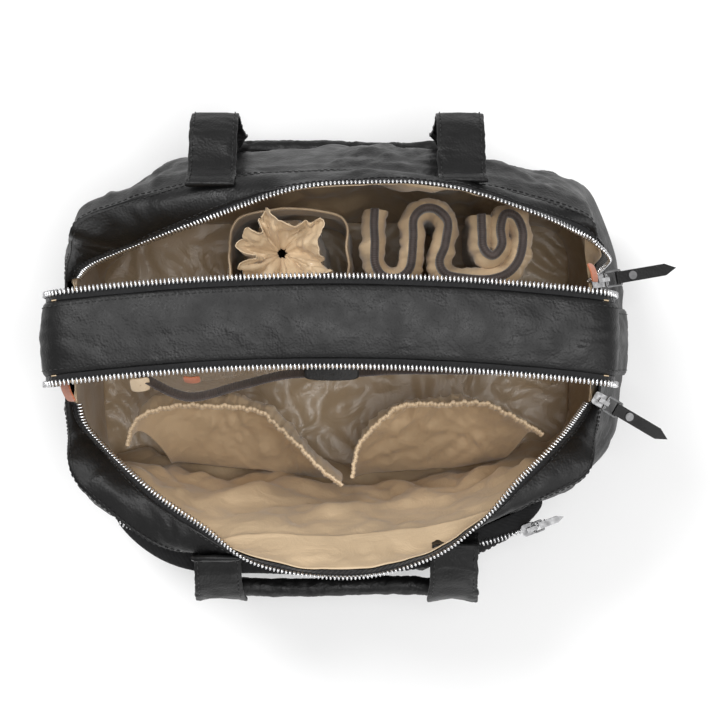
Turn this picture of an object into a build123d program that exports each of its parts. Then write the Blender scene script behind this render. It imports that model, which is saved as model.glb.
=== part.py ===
from build123d import *
import os
from math import sin, cos, asin, radians, degrees, hypot, sqrt

# Open-top diaper bag with two zipped compartments, shown standing with both mouths open.
# Millimetres. X runs along the bag, +Y to the rear, +Z up, origin at the middle of the base.

# ---------------------------------------------------------------- driving dimensions
base_length = 410.0          # outside, along X
base_depth = 212.0           # outside, along Y
bag_height = 300.0           # top face of the centre band
leather = 2.2                # coated outer fabric with its backing
lining = 0.8                 # lining cloth
board = 2.0                  # stiff board in the base
band_width = 58.0            # leather band between the two zips
band_bow = 12.0              # the band bows to the rear at its middle
band_radius = 18.0           # corner where the band turns down the ends
tape_width = 6.0             # zip tape left showing
tape = 0.8                   # zip tape thickness
bead_width = 3.5             # one row of zip teeth
bead = 2.4                   # its thickness
strip_lean = 21.0            # front top strip leans out this far at its middle
handle_spacing = 180.0       # between the two strap centres of one handle
strap_width = 33.0
strap = 4.0                  # strap thickness
grip_radius = 8.0
handle_reach = 47.0           # the hanging handle stands off its seam by this much
handle_drop = 62.0
rear_extra = 66.0             # the rear handle hangs this much lower
rear_lean = 13.0              # and this much closer to the bag           # from the seam to where the straps roll into the grip
pull_length = 48.0           # leather tab of a main zip pull
pull_width = 9.0
pull = 3.2
pocket_length = 330.0        # zipped outer pocket on the front
pocket_bulge = 20.0
pocket_mouth = 22.0           # depth of its top
mat_width = 118.0            # folded changing mat
mat_height = 200.0
mat_layer = 9.5
mat_layers = 6
pouch_radius = 30.0
elastic_bulge = 60.0         # the elastic pockets stand open this far

# clearances
hinge_gap = 2.0              # below the swinging panels, at the base fold
side_gap = 1.0               # between the ends of a swinging panel and the side lining
fit = 0.3                    # between parts that only lie against each other
pin_gap = 0.5                # around a zip pull's loop in the slider's bridge

# ---------------------------------------------------------------- derived heights and lengths
half = base_length / 2
deep = base_depth / 2
floor_z = leather + hinge_gap            # lower edge of the panels and the hinge height
belly_z = 0.37 * bag_height
rim_z = 0.567 * bag_height               # lower ends of both zips
front_seam_z = 0.747 * bag_height        # top of the front panel
rear_seam_z = 0.82 * bag_height          # top of the rear panel
front_lip_z = 0.873 * bag_height         # top of the open front mouth
rear_lip_z = 0.933 * bag_height
band_half = half - 5
foot = half - 3                          # half length of the band at the rim
mouth_half = half - 13                   # half length of each mouth's outer zip
mouth_start = band_width / 2 + 18        # y of the outer zip where it meets the rim

# Outside of the shell by height: x at the corners and at the middle of the ends,
# then y at the front corners and middle, then y at the rear corners and middle.
shell = [
    (floor_z, half - 2, half, deep - 2, deep, deep - 2, deep),
    (0.2 * bag_height, half + 5, half + 15, deep + 16, deep + 34, deep + 15, deep + 31),
    (belly_z, half + 7, half + 24, deep + 23, deep + 46, deep + 25, deep + 43),
    (rim_z, half - 7, half - 1, deep + 14, deep + 48, deep + 18, deep + 41),
    (front_seam_z, half - 12, half - 8, deep - 7, deep + 42, deep - 2, deep + 24),
    (rear_seam_z, half - 13, half - 11, deep - 20, deep + 30, deep - 17, deep + 16),
]


def at(z, column):
    """Value of one column of the shell table at height z."""
    rows = shell
    for low, high in zip(rows, rows[1:]):
        if z <= high[0] or high is rows[-1]:
            share = (z - low[0]) / (high[0] - low[0])
            return low[column] + share * (high[column] - low[column])


def arc_y(middle, corner, half_chord, x):
    """Height at x of the circular arc through both corners and the middle."""
    rise = middle - corner
    radius = (half_chord ** 2 + rise ** 2) / (2 * rise)
    return middle - radius + sqrt(radius ** 2 - x ** 2)


def ring(z, first, middle, last, shift):
    """Closed outline at height z: an arc through three points and its shifted copy."""
    a, m, b = (Vector(p[0], p[1], z) for p in (first, middle, last))
    d = Vector(shift[0], shift[1], 0)
    return Wire([
        Edge.make_three_point_arc(a, m, b), Edge.make_line(b, b + d),
        Edge.make_three_point_arc(b + d, m + d, a + d), Edge.make_line(a + d, a),
    ])


def wall(levels, shift):
    """Curved sheet through arcs given at several heights, as thick as the shift."""
    return Solid.make_loft([ring(z, a, m, b, shift) for z, a, m, b in levels], ruled=True)


def slab(levels):
    """Block between a front arc and a rear arc; x half length and y values at each height."""
    wires = []
    for z, hx, fc, fm, rc, rm in levels:
        a, b = Vector(-hx, fc, z), Vector(hx, fc, z)
        c, d = Vector(hx, rc, z), Vector(-hx, rc, z)
        wires.append(Wire([
            Edge.make_three_point_arc(a, Vector(0, fm, z), b), Edge.make_line(b, c),
            Edge.make_three_point_arc(c, Vector(0, rm, z), d), Edge.make_line(d, a),
        ]))
    return Solid.make_loft(wires, ruled=True)


def panel_half(z):
    """Half length of a swinging panel: inside the side wall and its lining."""
    return at(z, 1) - leather - lining - side_gap


def panel(side, inset, thick, heights):
    """Front (side = -1) or rear (side = 1) sheet, set in from the shell by inset."""
    corner, middle = (3, 4) if side < 0 else (5, 6)
    levels = []
    for z in heights:
        hx = panel_half(z)
        yc, ym = at(z, corner) - inset, at(z, middle) - inset
        levels.append((z, (-hx, side * yc), (0, side * ym), (hx, side * yc)))
    return wall(levels, (0, -side * thick))


# ---------------------------------------------------------------- base and side walls
front_heights = [floor_z, 0.2 * bag_height, belly_z, rim_z, front_seam_z]
rear_heights = [floor_z, 0.2 * bag_height, belly_z, rim_z, front_seam_z, rear_seam_z]

base_panel = slab([(0, half - 2, 2 - deep, -deep, deep - 2, deep),
                   (leather, half - 2, 2 - deep, -deep, deep - 2, deep)])
base_board = Pos(0, 0, leather + board / 2) * Box(2 * half - 30, 2 * deep - 18, board)
base_board = fillet(base_board.edges().filter_by(Axis.Z), 12)


def side_wall(side):
    """End wall with a notch above the rim; its two ears reach up to the strips' seams."""
    levels = [(leather, (side * (half - 2), 2 - deep), (side * half, 0), (side * (half - 2), deep - 2))]
    for z, xc, xm, fc, fm, rc, rm in shell[1:]:
        levels.append((z, (side * xc, -fc), (side * xm, 0), (side * xc, rc)))
    solid = wall(levels, (-side * leather, 0))
    flat = mouth_start + 11
    keep = Polyline((-400, 0), (-400, front_seam_z), (7 - deep, front_seam_z), (-flat, rim_z),
                    (flat, rim_z), (deep - 22, rear_seam_z), (400, rear_seam_z), (400, 0), close=True)
    return solid & extrude(Plane.YZ * make_face(keep), 2 * base_length, both=True)


# ---------------------------------------------------------------- centre band and inner zips
def arch(inset):
    """Filled outline of the band seen from the front, set in from its outer face."""
    line = Polyline((inset - foot, rim_z), (inset - band_half, bag_height - inset),
                    (band_half - inset, bag_height - inset), (foot - inset, rim_z), close=True)
    face = make_face(line)
    face = fillet(face.vertices().sort_by(Axis.Y)[-2:], band_radius - inset)
    return extrude(Plane.XZ * face, base_depth, both=True)


def ribbon(front_edge, rear_edge):
    """Bowed block in plan between two distances from the band's middle line."""
    reach = foot + 5
    return slab([(z, reach, front_edge, front_edge + band_bow, rear_edge, rear_edge + band_bow)
                 for z in (rim_z - 5, bag_height + 5)])


def arch_shell(top, thick):
    return arch(top) - arch(top + thick)


edge = band_width / 2
centre_band = arch_shell(0, leather) & ribbon(-edge, edge)
inner = {}
for name, side in (("front", -1), ("rear", 1)):
    spans = ((edge, edge + tape_width, (leather - tape) / 2, tape, "tape"),
             (edge + tape_width, edge + tape_width + bead_width, 0, bead, "teeth"))
    for near, far, top, thick, kind in spans:
        low, high = sorted((side * near, side * far))
        inner[name, kind] = arch_shell(top, thick) & ribbon(low, high)

# ---------------------------------------------------------------- divider between compartments
divider_top = bag_height - leather - 2
divider = [(leather + board + lining + fit, half - 9, 6.0),
           (belly_z, half - 5, 12.0),
           (rim_z, half - 12, 17.0),
           (divider_top, band_half - 14, edge - 3)]


def bow(z):
    return band_bow * z / bag_height + 1


divider_pad = slab([(z, hx, -y, bow(z) - y, y, y + bow(z)) for z, hx, y in divider])


def on_divider(side, off, thick, hx_of, z_low, z_high):
    """Sheet lying off the divider's front or rear face between two heights."""
    zs = [z_low] + [z for z, hx, y in divider if z_low < z < z_high] + [z_high]
    levels = []
    for z in zs:
        for low, high in zip(divider, divider[1:]):
            if z <= high[0] or high is divider[-1]:
                share = (z - low[0]) / (high[0] - low[0])
                y = low[2] + share * (high[2] - low[2])
                hx = low[1] + share * (high[1] - low[1])
                break
        hx = min(hx, hx_of) if hx_of else hx
        x1, x2 = -hx, hx
        sag = bow(z) * (1 - (hx / (half - 5)) ** 2) if hx_of else 0
        start = side * (y + off) + sag
        mid = side * (y + off) + bow(z)
        levels.append((z, (x1, start), (0, mid), (x2, start)))
    return wall(levels, (0, side * thick))


front_divider_lining = on_divider(-1, fit / 3, lining, None, divider[0][0], divider_top)
rear_divider_lining = on_divider(1, fit / 3, lining, None, divider[0][0], divider_top)

clear_low, clear_high = 0.48 * bag_height, 0.9 * bag_height
clear_half = 0.34 * base_length
clear_pocket_sheet = on_divider(-1, 2.6, 0.5, clear_half, clear_low, clear_high)
clear_pocket_binding = on_divider(-1, 2.0, 1.7, clear_half + 1, clear_high, clear_high + 9)
label_patch = Pos(0, bow(0.95 * bag_height) - edge + 1.0, 0.953 * bag_height) * Box(38, 1.2, 12)
care_tab = Pos(-half + 82, -edge + 5.5, 0.9 * bag_height) * Box(11, 0.8, 16)

# ---------------------------------------------------------------- compartment linings
lining_floor = leather + board


def end_sheet(side, face):
    """Lining on one end wall of one compartment, from the divider to the panel."""
    zs = [lining_floor + lining, 0.2 * bag_height, belly_z, rim_z - 2]
    column = 3 if face < 0 else 5
    levels = []
    for z in zs:
        xc, xm = at(z, 1) - leather - fit / 3, at(z, 2) - leather - fit / 3
        y_far = at(z, column)
        y1, y2 = face * (0.21 * deep), face * (y_far - 7)

        def x_at(y):
            return side * (xm - (xm - xc) * (y / y_far) ** 2 - 0.35)
        ym = (y1 + y2) / 2
        levels.append((z, (x_at(y1), y1), (x_at(ym), ym), (x_at(y2), y2)))
    return wall(levels, (-side * (lining - 0.35), 0))


def compartment_lining(face):
    y1, y2 = sorted((face * 9.0, face * (deep - 8)))
    floor = Pos(0, (y1 + y2) / 2, lining_floor + lining / 2) * Box(2 * half - 14, y2 - y1, lining)
    return Compound(children=[floor.solid(), end_sheet(-1, face), end_sheet(1, face)])


# ---------------------------------------------------------------- swinging panels
front_panel = panel(-1, 0, leather, front_heights)
rear_panel = panel(1, 0, leather, rear_heights)


def slack(side, heights, amount):
    """Lining hung inside a panel; it stands off the panel between its two held edges."""
    corner, middle = (3, 4) if side < 0 else (5, 6)
    low, high = heights[0], heights[-1]
    levels = []
    for z in heights:
        share = (z - low) / (high - low)
        sag = leather + fit / 3 + amount * 4 * share * (1 - share)
        hx = panel_half(z)
        yc = at(z, corner) - leather - fit / 3 - 0.2 * (sag - leather)
        levels.append((z, (-hx, side * yc), (0, side * (at(z, middle) - sag)), (hx, side * yc)))
    return wall(levels, (0, -side * lining))


front_wall_lining = slack(-1, front_heights, 26.0)
rear_wall_lining = slack(1, rear_heights, 14.0)


# ---------------------------------------------------------------- mouths: strip, tape, teeth
class Mouth:
    """One compartment's open outer edge: a leaning strip and the outer half of its zip."""

    def __init__(self, side, seam_z, lip_z, lip_y, peak, left_power, right_power):
        corner, middle = (3, 4) if side < 0 else (5, 6)
        self.side, self.peak = side, peak
        self.powers = (left_power, right_power)
        self.rise = hypot(lip_y - mouth_start, lip_z - rim_z)
        along = Vector(0, side * (lip_y - mouth_start), lip_z - rim_z) * (1 / self.rise)
        self.plane = Plane(origin=(0, side * mouth_start, rim_z), x_dir=(1, 0, 0),
                           z_dir=Vector(1, 0, 0).cross(along) * side)
        self.seam_z = seam_z
        inset = leather + lining + fit
        self.seam_y = (at(seam_z, middle) - inset, at(seam_z, corner) - inset)

    def seam_point(self, x):
        """Point of the seam between the panel and the strip, at the panel's inner face."""
        hx = panel_half(self.seam_z)
        y = arc_y(self.seam_y[0], self.seam_y[1], hx, x)
        return Vector(x, self.side * y, self.seam_z + fit + 1.3 * (1 - (x / hx) ** 2))

    def lip_point(self, u):
        """Height of the hanging lip above the rim, measured in the lip's own plane."""
        reach, power = (self.peak + mouth_half, self.powers[0])
        if u > self.peak:
            reach, power = (mouth_half - self.peak, self.powers[1])
        return self.rise * (1 - (abs(u - self.peak) / reach) ** power)

    def hang(self, inset, count=12):
        """The lip's curve, set in towards the opening, in the lip's own plane."""
        points = []
        for i in range(count + 1):
            u = mouth_half * (2 * i / count - 1)
            step = 0.01
            ahead, behind = min(u + step, mouth_half), max(u - step, -mouth_half)
            slope = (self.lip_point(ahead) - self.lip_point(behind)) / (ahead - behind)
            length = hypot(1, slope)
            points.append((u + inset * slope / length,
                           self.side * (self.lip_point(u) - inset / length)))
        return Spline(*points)

    def strip(self, count=16):
        """Leather from the panel's seam to the lip, built from slices across the bag."""
        wires = []
        for i in range(count + 1):
            x = panel_half(self.seam_z) * (2 * i / count - 1)
            seam = self.seam_point(x)
            v = self.lip_point(x)
            lip = self.plane.from_local_coords(Vector(x, self.side * v, 0))
            run = lip - seam
            out = Vector(0, run.Z, -run.Y) * (self.side * leather / run.length)
            corners = [seam, lip, lip + out, seam + out]
            wires.append(Wire([Edge.make_line(a, b)
                               for a, b in zip(corners, corners[1:] + corners[:1])]))
        return Solid.make_loft(wires, ruled=True)

    def trim(self, near, far, thick, lift):
        first, last = self.hang(near).edge(), self.hang(far).edge()
        line = [first, Edge.make_line(first @ 1, last @ 1), last, Edge.make_line(last @ 0, first @ 0)]
        face = Face(Wire(line))
        if face.normal_at().Z < 0:
            face = -face
        return self.plane * (Pos(0, 0, lift) * Solid.extrude(face, Vector(0, 0, thick)))


front_lip_y = at(front_seam_z, 4) + strip_lean
rear_lip_y = at(rear_seam_z, 6) - 11
mouths = {"front": Mouth(-1, front_seam_z, front_lip_z, front_lip_y, 0, 2.0, 2.0),
          "rear": Mouth(1, rear_seam_z, rear_lip_z, rear_lip_y, 0.07 * base_length, 1.7, 3.0)}


# ---------------------------------------------------------------- elastic pockets in the front
def wall_y(z, x):
    """y of the front wall lining's inner face at height z."""
    share = (z - floor_z) / (front_seam_z - floor_z)
    sag = leather + fit / 3 + 26.0 * 4 * share * (1 - share)
    mid = at(z, 4) - sag - lining
    corner = at(z, 3) - leather - fit / 3 - 0.2 * (sag - leather) - lining
    return -arc_y(mid, corner, panel_half(z), x)


pocket_low, pocket_high = 0.22 * bag_height, 0.62 * bag_height
elastic = 2.4
elastic_height = 9.0


def pocket_pair(x1, x2, bulge):
    xm = (x1 + x2) / 2
    levels = []
    for z, grow in ((pocket_low, 0.16), (rim_z - 26, 0.8), (pocket_high, 1.0)):
        y1, y2 = wall_y(z, x1) + 1.5, wall_y(z, x2) + 1.5
        levels.append((z, (x1, y1), (xm, (y1 + y2) / 2 + bulge * grow), (x2, y2)))
    sheet = wall(levels, (0, lining))
    z, a, m, b = levels[-1]
    low = z + fit / 3
    band_levels = [(zz, (a[0], a[1] - 0.8), (m[0], m[1] - 0.8), (b[0], b[1] - 0.8))
                   for zz in (low, low + elastic_height)]
    return sheet, wall(band_levels, (0, elastic))


pocket_left, band_left = pocket_pair(-0.37 * base_length, 0.01 * base_length, elastic_bulge)
pocket_right, band_right = pocket_pair(0.03 * base_length, 0.37 * base_length, elastic_bulge - 4)

# ---------------------------------------------------------------- zipped pocket on the front
pocket_half = pocket_length / 2
pocket_foot_z = 0.1 * bag_height
pocket_top_z = 0.6 * bag_height


def front_y(z, x):
    """Distance of the front panel's outer face from the middle plane."""
    return arc_y(at(z, 4), at(z, 3), panel_half(z), x)


def pocket_section(z, hx, front, back):
    """Slice of the pocket between two distances off the front panel."""
    mid, end = front_y(z, 0), front_y(z, hx)
    share = 0.55
    return (z, hx, -(end + front * share), -(mid + front), -(end + back * share), -(mid + back))


pocket_heights = [(pocket_foot_z, 13.0), (0.2 * bag_height, 18.0), (belly_z, pocket_bulge),
                  (0.5 * bag_height, pocket_bulge + 1), (rim_z, pocket_mouth - 0.4),
                  (pocket_top_z, pocket_mouth)]
front_pocket_face = slab([pocket_section(z, pocket_half, out, out - leather) for z, out in pocket_heights])
gap = 4 * fit
front_pocket_gusset = slab([pocket_section(z, pocket_half, out - leather - 0.01, gap)
                            for z, out in pocket_heights])
front_pocket_gusset -= slab([pocket_section(z, pocket_half - leather, out + 20, -20)
                             for z, out in [(pocket_foot_z + leather, 13.0)] + pocket_heights[1:-1]
                             + [(pocket_top_z + 5, pocket_mouth)]])

lid_z = pocket_top_z + fit / 3
lid = [pocket_section(pocket_top_z, pocket_half, pocket_mouth, gap)[1:]] * 2
front_pocket_zip_tape = slab([(z, *row) for z, row in zip((lid_z, lid_z + tape), lid)])
chain_y_mid = front_y(pocket_top_z, 0) + 0.66 * pocket_mouth
chain_y_end = front_y(pocket_top_z, pocket_half) + 0.36 * pocket_mouth
chain_z = lid_z


def chain_strip(half_width, z, thick, reach):
    """Strip along the pocket's zip: a true circular arc in plan at one height."""
    sag = chain_y_mid - chain_y_end
    radius = (pocket_half ** 2 + sag ** 2) / (2 * sag)
    centre_y = radius - chain_y_mid
    turn = degrees(asin(reach / radius))
    outer, inner_r = radius + half_width, radius - half_width

    def p(r, a):
        return Vector(r * sin(radians(a)), centre_y - r * cos(radians(a)), z)
    wire = Wire([
        Edge.make_three_point_arc(p(outer, -turn), p(outer, 0), p(outer, turn)),
        Edge.make_line(p(outer, turn), p(inner_r, turn)),
        Edge.make_three_point_arc(p(inner_r, turn), p(inner_r, 0), p(inner_r, -turn)),
        Edge.make_line(p(inner_r, -turn), p(outer, -turn)),
    ])
    return Solid.extrude(Face(wire), Vector(0, 0, thick)), radius, centre_y


front_pocket_zip_teeth, chain_radius, chain_centre = chain_strip(2.4, chain_z + tape, bead,
                                                                 pocket_half - 5)
slider_at = pocket_half - 14
slider_turn = degrees(asin(slider_at / chain_radius))
slider_frame = (Pos(0, chain_centre, chain_z + tape) * Rot(0, 0, slider_turn)
                * Pos(0, -chain_radius, 0))


# ---------------------------------------------------------------- zip sliders and their pulls
def slider(length, width, low, top, hole, skirt=0):
    """Slider around a row of teeth. The pull's hinge axis is the frame's Y axis, at z = 0."""
    body = Pos(-length / 2 + 2, 0, (low + top) / 2) * Box(length, width, top - low)
    body = fillet(body.edges().filter_by(Axis.Z), 2.2)
    bridge = Pos(-1.5, 0, (top + 3.0) / 2) * Box(8.0, 3.2, 3.0 - top)
    bridge -= Rot(90, 0, 0) * Cylinder(hole, 6)
    whole = body + bridge
    for end in (-1, 1):
        if skirt:
            whole += Pos(-length / 2 + 2, end * (width / 2 - 0.5), low - skirt / 2) * Box(
                length - 5, 1.0, skirt)
    return whole


def loop(wire_radius, half_width, reach):
    """Wire loop through the slider's bridge: a rounded rectangle of round wire."""
    path = FilletPolyline((0, -half_width), (reach, -half_width), (reach, half_width),
                          (0, half_width), radius=wire_radius * 1.15, close=True)
    start = path.edges()[0]
    profile = Plane(origin=start @ 0.5, z_dir=start % 0.5) * Circle(wire_radius)
    return sweep(profile, path)


def pull_tab(length, width, thick, near, bar_x, bar_radius, rivet_x, rivet_radius):
    """Flat tab with a pointed end, cut for the loop's bar and the rivet."""
    outline = Polyline((near, -width / 2), (near + length - width, -width / 2),
                       (near + length, 0), (near + length - width, width / 2),
                       (near, width / 2), close=True)
    solid = extrude(make_face(outline), thick / 2, both=True)
    solid -= Pos(bar_x, 0, 0) * Rot(90, 0, 0) * Cylinder(bar_radius, width * 2)
    if rivet_radius:
        solid -= Pos(rivet_x, 0, 0) * Cylinder(rivet_radius, thick * 2)
    return solid


def rivet(x, radius, head, thick):
    shank = Cylinder(radius, thick)
    cap = Cylinder(head, 1.0)
    return Pos(x, 0, 0) * (shank + Pos(0, 0, thick / 2 + 0.5) * cap + Pos(0, 0, -thick / 2 - 0.5) * cap)


loop_wire, loop_half, loop_reach = 0.9, 5.6, 12.0
pull_x = half + 1
pull_z = rim_z + 10
pull_y = edge + tape_width + bead_width + loop_half + loop_wire + 1.5
pull_dip = 12.0
pull_frames = {
    "front": Pos(pull_x, -pull_y, pull_z) * Rot(0, 0, -30),
    "rear": Pos(pull_x, pull_y, pull_z) * Rot(0, 0, 10),
}

# ---------------------------------------------------------------- handles
strap_inner = handle_spacing / 2 - strap_width / 2


def handle(side, seam_y, seam_z, reach, drop, lean=0.0):
    """Two straps from the seam, out and down, and the rolled grip between them."""
    start = (0, side * seam_y, seam_z)
    knee = (0, side * (seam_y + 0.64 * reach), seam_z - 0.27 * reach)
    hip = (0, side * (seam_y + reach), seam_z - 0.62 * reach)
    low = (0, side * (seam_y + reach - lean), seam_z - drop)
    path = FilletPolyline(start, knee, hip, low, radius=11)
    first = path.edges()[0]
    straps = []
    for end in (-1, 1):
        section = Plane(origin=first @ 0, x_dir=(1, 0, 0), z_dir=first % 0) * Rectangle(strap_width, strap)
        straps.append(Pos(end * handle_spacing / 2, 0, 0) * sweep(section, path))
    hx, out_y = handle_spacing / 2, low[1]
    top_z = low[2] - fit / 3
    run = FilletPolyline((-hx, out_y, top_z), (-hx, out_y, top_z - 34), (hx, out_y, top_z - 34),
                         (hx, out_y, top_z), radius=26)
    edge_0 = run.edges()[0]
    section = Plane(origin=edge_0 @ 0, z_dir=edge_0 % 0) * Circle(grip_radius)
    return straps, sweep(section, run), start


def seam_face(z, middle, corner):
    """Outer face of a panel at height z, at the inner edge of a handle strap."""
    return arc_y(at(z, middle), at(z, corner), panel_half(z), strap_inner) + fit + strap / 2 + 0.5


strap_z = front_seam_z - strap / 2 - 1.5
front_straps, front_grip, front_pivot = handle(-1, seam_face(strap_z, 4, 3), strap_z,
                                               handle_reach, handle_drop)
strap_z = rear_seam_z - strap / 2 - 1.5
rear_straps, rear_grip, rear_pivot = handle(1, seam_face(strap_z, 6, 5), strap_z,
                                            handle_reach, handle_drop + rear_extra, rear_lean)

# ---------------------------------------------------------------- changing mat and bottle pouch
mat_x = half * 0.1 + 7
mat_y = 48.0
mat_z = lining_floor + lining + 26
mat_depth = 38.0                             # the last layer is rolled in, so it is shorter
pitch = (mat_width - mat_layer) / (mat_layers - 1)
mat_points = []
for i in range(mat_layers):
    ends = (mat_y + mat_depth, mat_y)
    if i % 2:
        ends = ends[::-1]
    if i == mat_layers - 1:
        ends = (ends[0], mat_y + 0.35 * mat_depth)
    mat_points += [(mat_x + i * pitch, ends[0]), (mat_x + i * pitch, ends[1])]
mat_path = FilletPolyline(*mat_points, radius=pitch / 2 - 0.05)
changing_mat = Pos(0, 0, mat_z) * extrude(trace(mat_path, mat_layer), mat_height)
changing_mat_binding = Pos(0, 0, mat_z + mat_height) * extrude(trace(mat_path, mat_layer + 1), 3.0)

pouch_x, pouch_y = -36.0, 63.5
pouch_low = lining_floor + lining + 2
neck_z = pouch_low + 0.74 * bag_height
skin = 1.6
profile = [(0, pouch_low), (pouch_radius - 3, pouch_low), (pouch_radius, pouch_low + 60),
           (pouch_radius, neck_z - 46), (10, neck_z - 4), (8.2, neck_z), (10, neck_z + 4),
           (26, neck_z + 26), (24.4, neck_z + 27), (8.4, neck_z + 5), (6.6, neck_z),
           (8.4, neck_z - 5), (pouch_radius - skin, neck_z - 46.6),
           (pouch_radius - skin, pouch_low + 60), (pouch_radius - 3 - skin, pouch_low + skin),
           (0, pouch_low + skin)]
bottle_pouch = Pos(pouch_x, pouch_y, 0) * revolve(Plane.XZ * make_face(Polyline(*profile, close=True)), Axis.Z)
pouch_cord = Pos(pouch_x, pouch_y, neck_z) * Torus(9.9, 1.3)
tabs = [Pos(pouch_x, pouch_y, neck_z - 8) * Rot(0, 0, turn) * Pos(19.5, 0, 0) * Rot(0, 35, 0)
        * Box(16, 9, 1.6) for turn in (150, -25)]

sling = FilletPolyline((-80, 31), (-80, deep - 10), (14, deep - 10), (14, 41), radius=22)
bottle_pocket = Pos(0, 0, lining_floor + lining + 1) * extrude(trace(sling, 1.2), 0.6 * bag_height)

# ---------------------------------------------------------------- nodes
nodes = {
    "base_panel": base_panel,
    "base_board": base_board,
    "side_wall_left": side_wall(-1),
    "side_wall_right": side_wall(1),
    "centre_band": centre_band,
    "divider_pad": divider_pad,
    "front_divider_lining": front_divider_lining,
    "rear_divider_lining": rear_divider_lining,
    "front_compartment_lining": compartment_lining(-1),
    "rear_compartment_lining": compartment_lining(1),
    "clear_pocket_sheet": clear_pocket_sheet,
    "clear_pocket_binding": clear_pocket_binding,
    "label_patch": label_patch,
    "care_tab": care_tab,
    "bottle_pocket": bottle_pocket,
    "front_panel": front_panel,
    "front_wall_lining": front_wall_lining,
    "rear_panel": rear_panel,
    "rear_wall_lining": rear_wall_lining,
    "elastic_pocket_left": pocket_left,
    "elastic_pocket_right": pocket_right,
    "pocket_elastic_left": band_left,
    "pocket_elastic_right": band_right,
    "front_pocket_face": front_pocket_face,
    "front_pocket_gusset": front_pocket_gusset,
    "front_pocket_zip_tape": front_pocket_zip_tape,
    "front_pocket_zip_teeth": front_pocket_zip_teeth,
    "changing_mat": changing_mat,
    "changing_mat_binding": changing_mat_binding,
    "bottle_pouch": bottle_pouch,
    "pouch_drawcord": pouch_cord,
    "pouch_tabs": Compound(children=[t.solid() for t in tabs]),
    "front_handle_straps": Compound(children=[s.solid() for s in front_straps]),
    "front_handle_grip": front_grip,
    "rear_handle_straps": Compound(children=[s.solid() for s in rear_straps]),
    "rear_handle_grip": rear_grip,
}
for name, mouth in mouths.items():
    nodes[f"{name}_top_strip"] = mouth.strip()
    cut_tape = mouth.trim(0, tape_width, tape, 0) - nodes[f"{name}_top_strip"]
    nodes[f"{name}_outer_zip_tape"] = cut_tape.solids().sort_by(SortBy.VOLUME)[-1]
    nodes[f"{name}_outer_zip_teeth"] = mouth.trim(tape_width, tape_width + bead_width, bead, -0.8)
    nodes[f"{name}_inner_zip_tape"] = inner[name, "tape"]
    nodes[f"{name}_inner_zip_teeth"] = inner[name, "teeth"]
    place = pull_frames[name]
    tilt = place * Rot(0, pull_dip, 0)
    nodes[f"{name}_zip_slider"] = place * slider(12, 10, -8.0, -3.0, loop_wire + pin_gap)
    nodes[f"{name}_pull_loop"] = tilt * loop(loop_wire, loop_half, loop_reach)
    nodes[f"{name}_pull_tab"] = tilt * pull_tab(pull_length, pull_width, pull, loop_reach - 3.5,
                                                loop_reach, loop_wire + 0.1, loop_reach + 9, 1.6)
    nodes[f"{name}_pull_rivet"] = tilt * rivet(loop_reach + 9, 1.6, 3.2, pull)

small = slider_frame * Pos(0, 0, 7.4)
pocket_slider = slider(11, 9, -4.6, -2.0, 0.8 + pin_gap, 2.4)
nodes["pocket_zip_slider"] = small * pocket_slider
nodes["pocket_pull_loop"] = small * loop(0.8, 3.6, 7.0)
nodes["pocket_pull_tab"] = small * pull_tab(19.0, 5.0, 1.8, 4.8, 7.0, 0.85, 0, 0)

if __name__ == "__main__":
    os.makedirs("parts", exist_ok=True)
    for name, shape in nodes.items():
        export_step(shape, f"parts/{name}.step")
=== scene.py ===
import bpy
import numpy as np
from bpy.props import FloatProperty, FloatVectorProperty, PointerProperty
from bpy.types import Operator, Panel, PropertyGroup
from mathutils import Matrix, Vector


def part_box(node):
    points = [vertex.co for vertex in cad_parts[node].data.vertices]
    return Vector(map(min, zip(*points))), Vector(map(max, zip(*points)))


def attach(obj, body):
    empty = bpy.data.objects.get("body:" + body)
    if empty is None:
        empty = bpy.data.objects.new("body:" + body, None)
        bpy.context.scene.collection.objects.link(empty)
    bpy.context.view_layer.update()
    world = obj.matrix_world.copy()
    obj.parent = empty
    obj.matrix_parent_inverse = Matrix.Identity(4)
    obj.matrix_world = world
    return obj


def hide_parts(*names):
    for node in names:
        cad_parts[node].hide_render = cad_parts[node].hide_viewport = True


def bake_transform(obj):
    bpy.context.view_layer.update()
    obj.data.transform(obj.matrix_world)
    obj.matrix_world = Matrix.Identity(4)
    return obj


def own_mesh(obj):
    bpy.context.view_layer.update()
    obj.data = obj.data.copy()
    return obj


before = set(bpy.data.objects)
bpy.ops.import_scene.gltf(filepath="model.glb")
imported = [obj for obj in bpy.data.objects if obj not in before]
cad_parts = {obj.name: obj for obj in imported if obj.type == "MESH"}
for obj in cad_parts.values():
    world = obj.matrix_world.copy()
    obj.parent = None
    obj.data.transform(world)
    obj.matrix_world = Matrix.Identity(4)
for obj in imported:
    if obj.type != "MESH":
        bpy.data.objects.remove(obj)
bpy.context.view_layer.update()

bl_info = {
    "name": "Two-compartment nursery bag",
    "version": (1, 0, 0),
    "blender": (4, 5, 0),
    "location": "View3D > Sidebar > Bag",
    "description": "Open black leather bag with cloth linings, zips and what hangs in it",
    "category": "Object",
}

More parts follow.
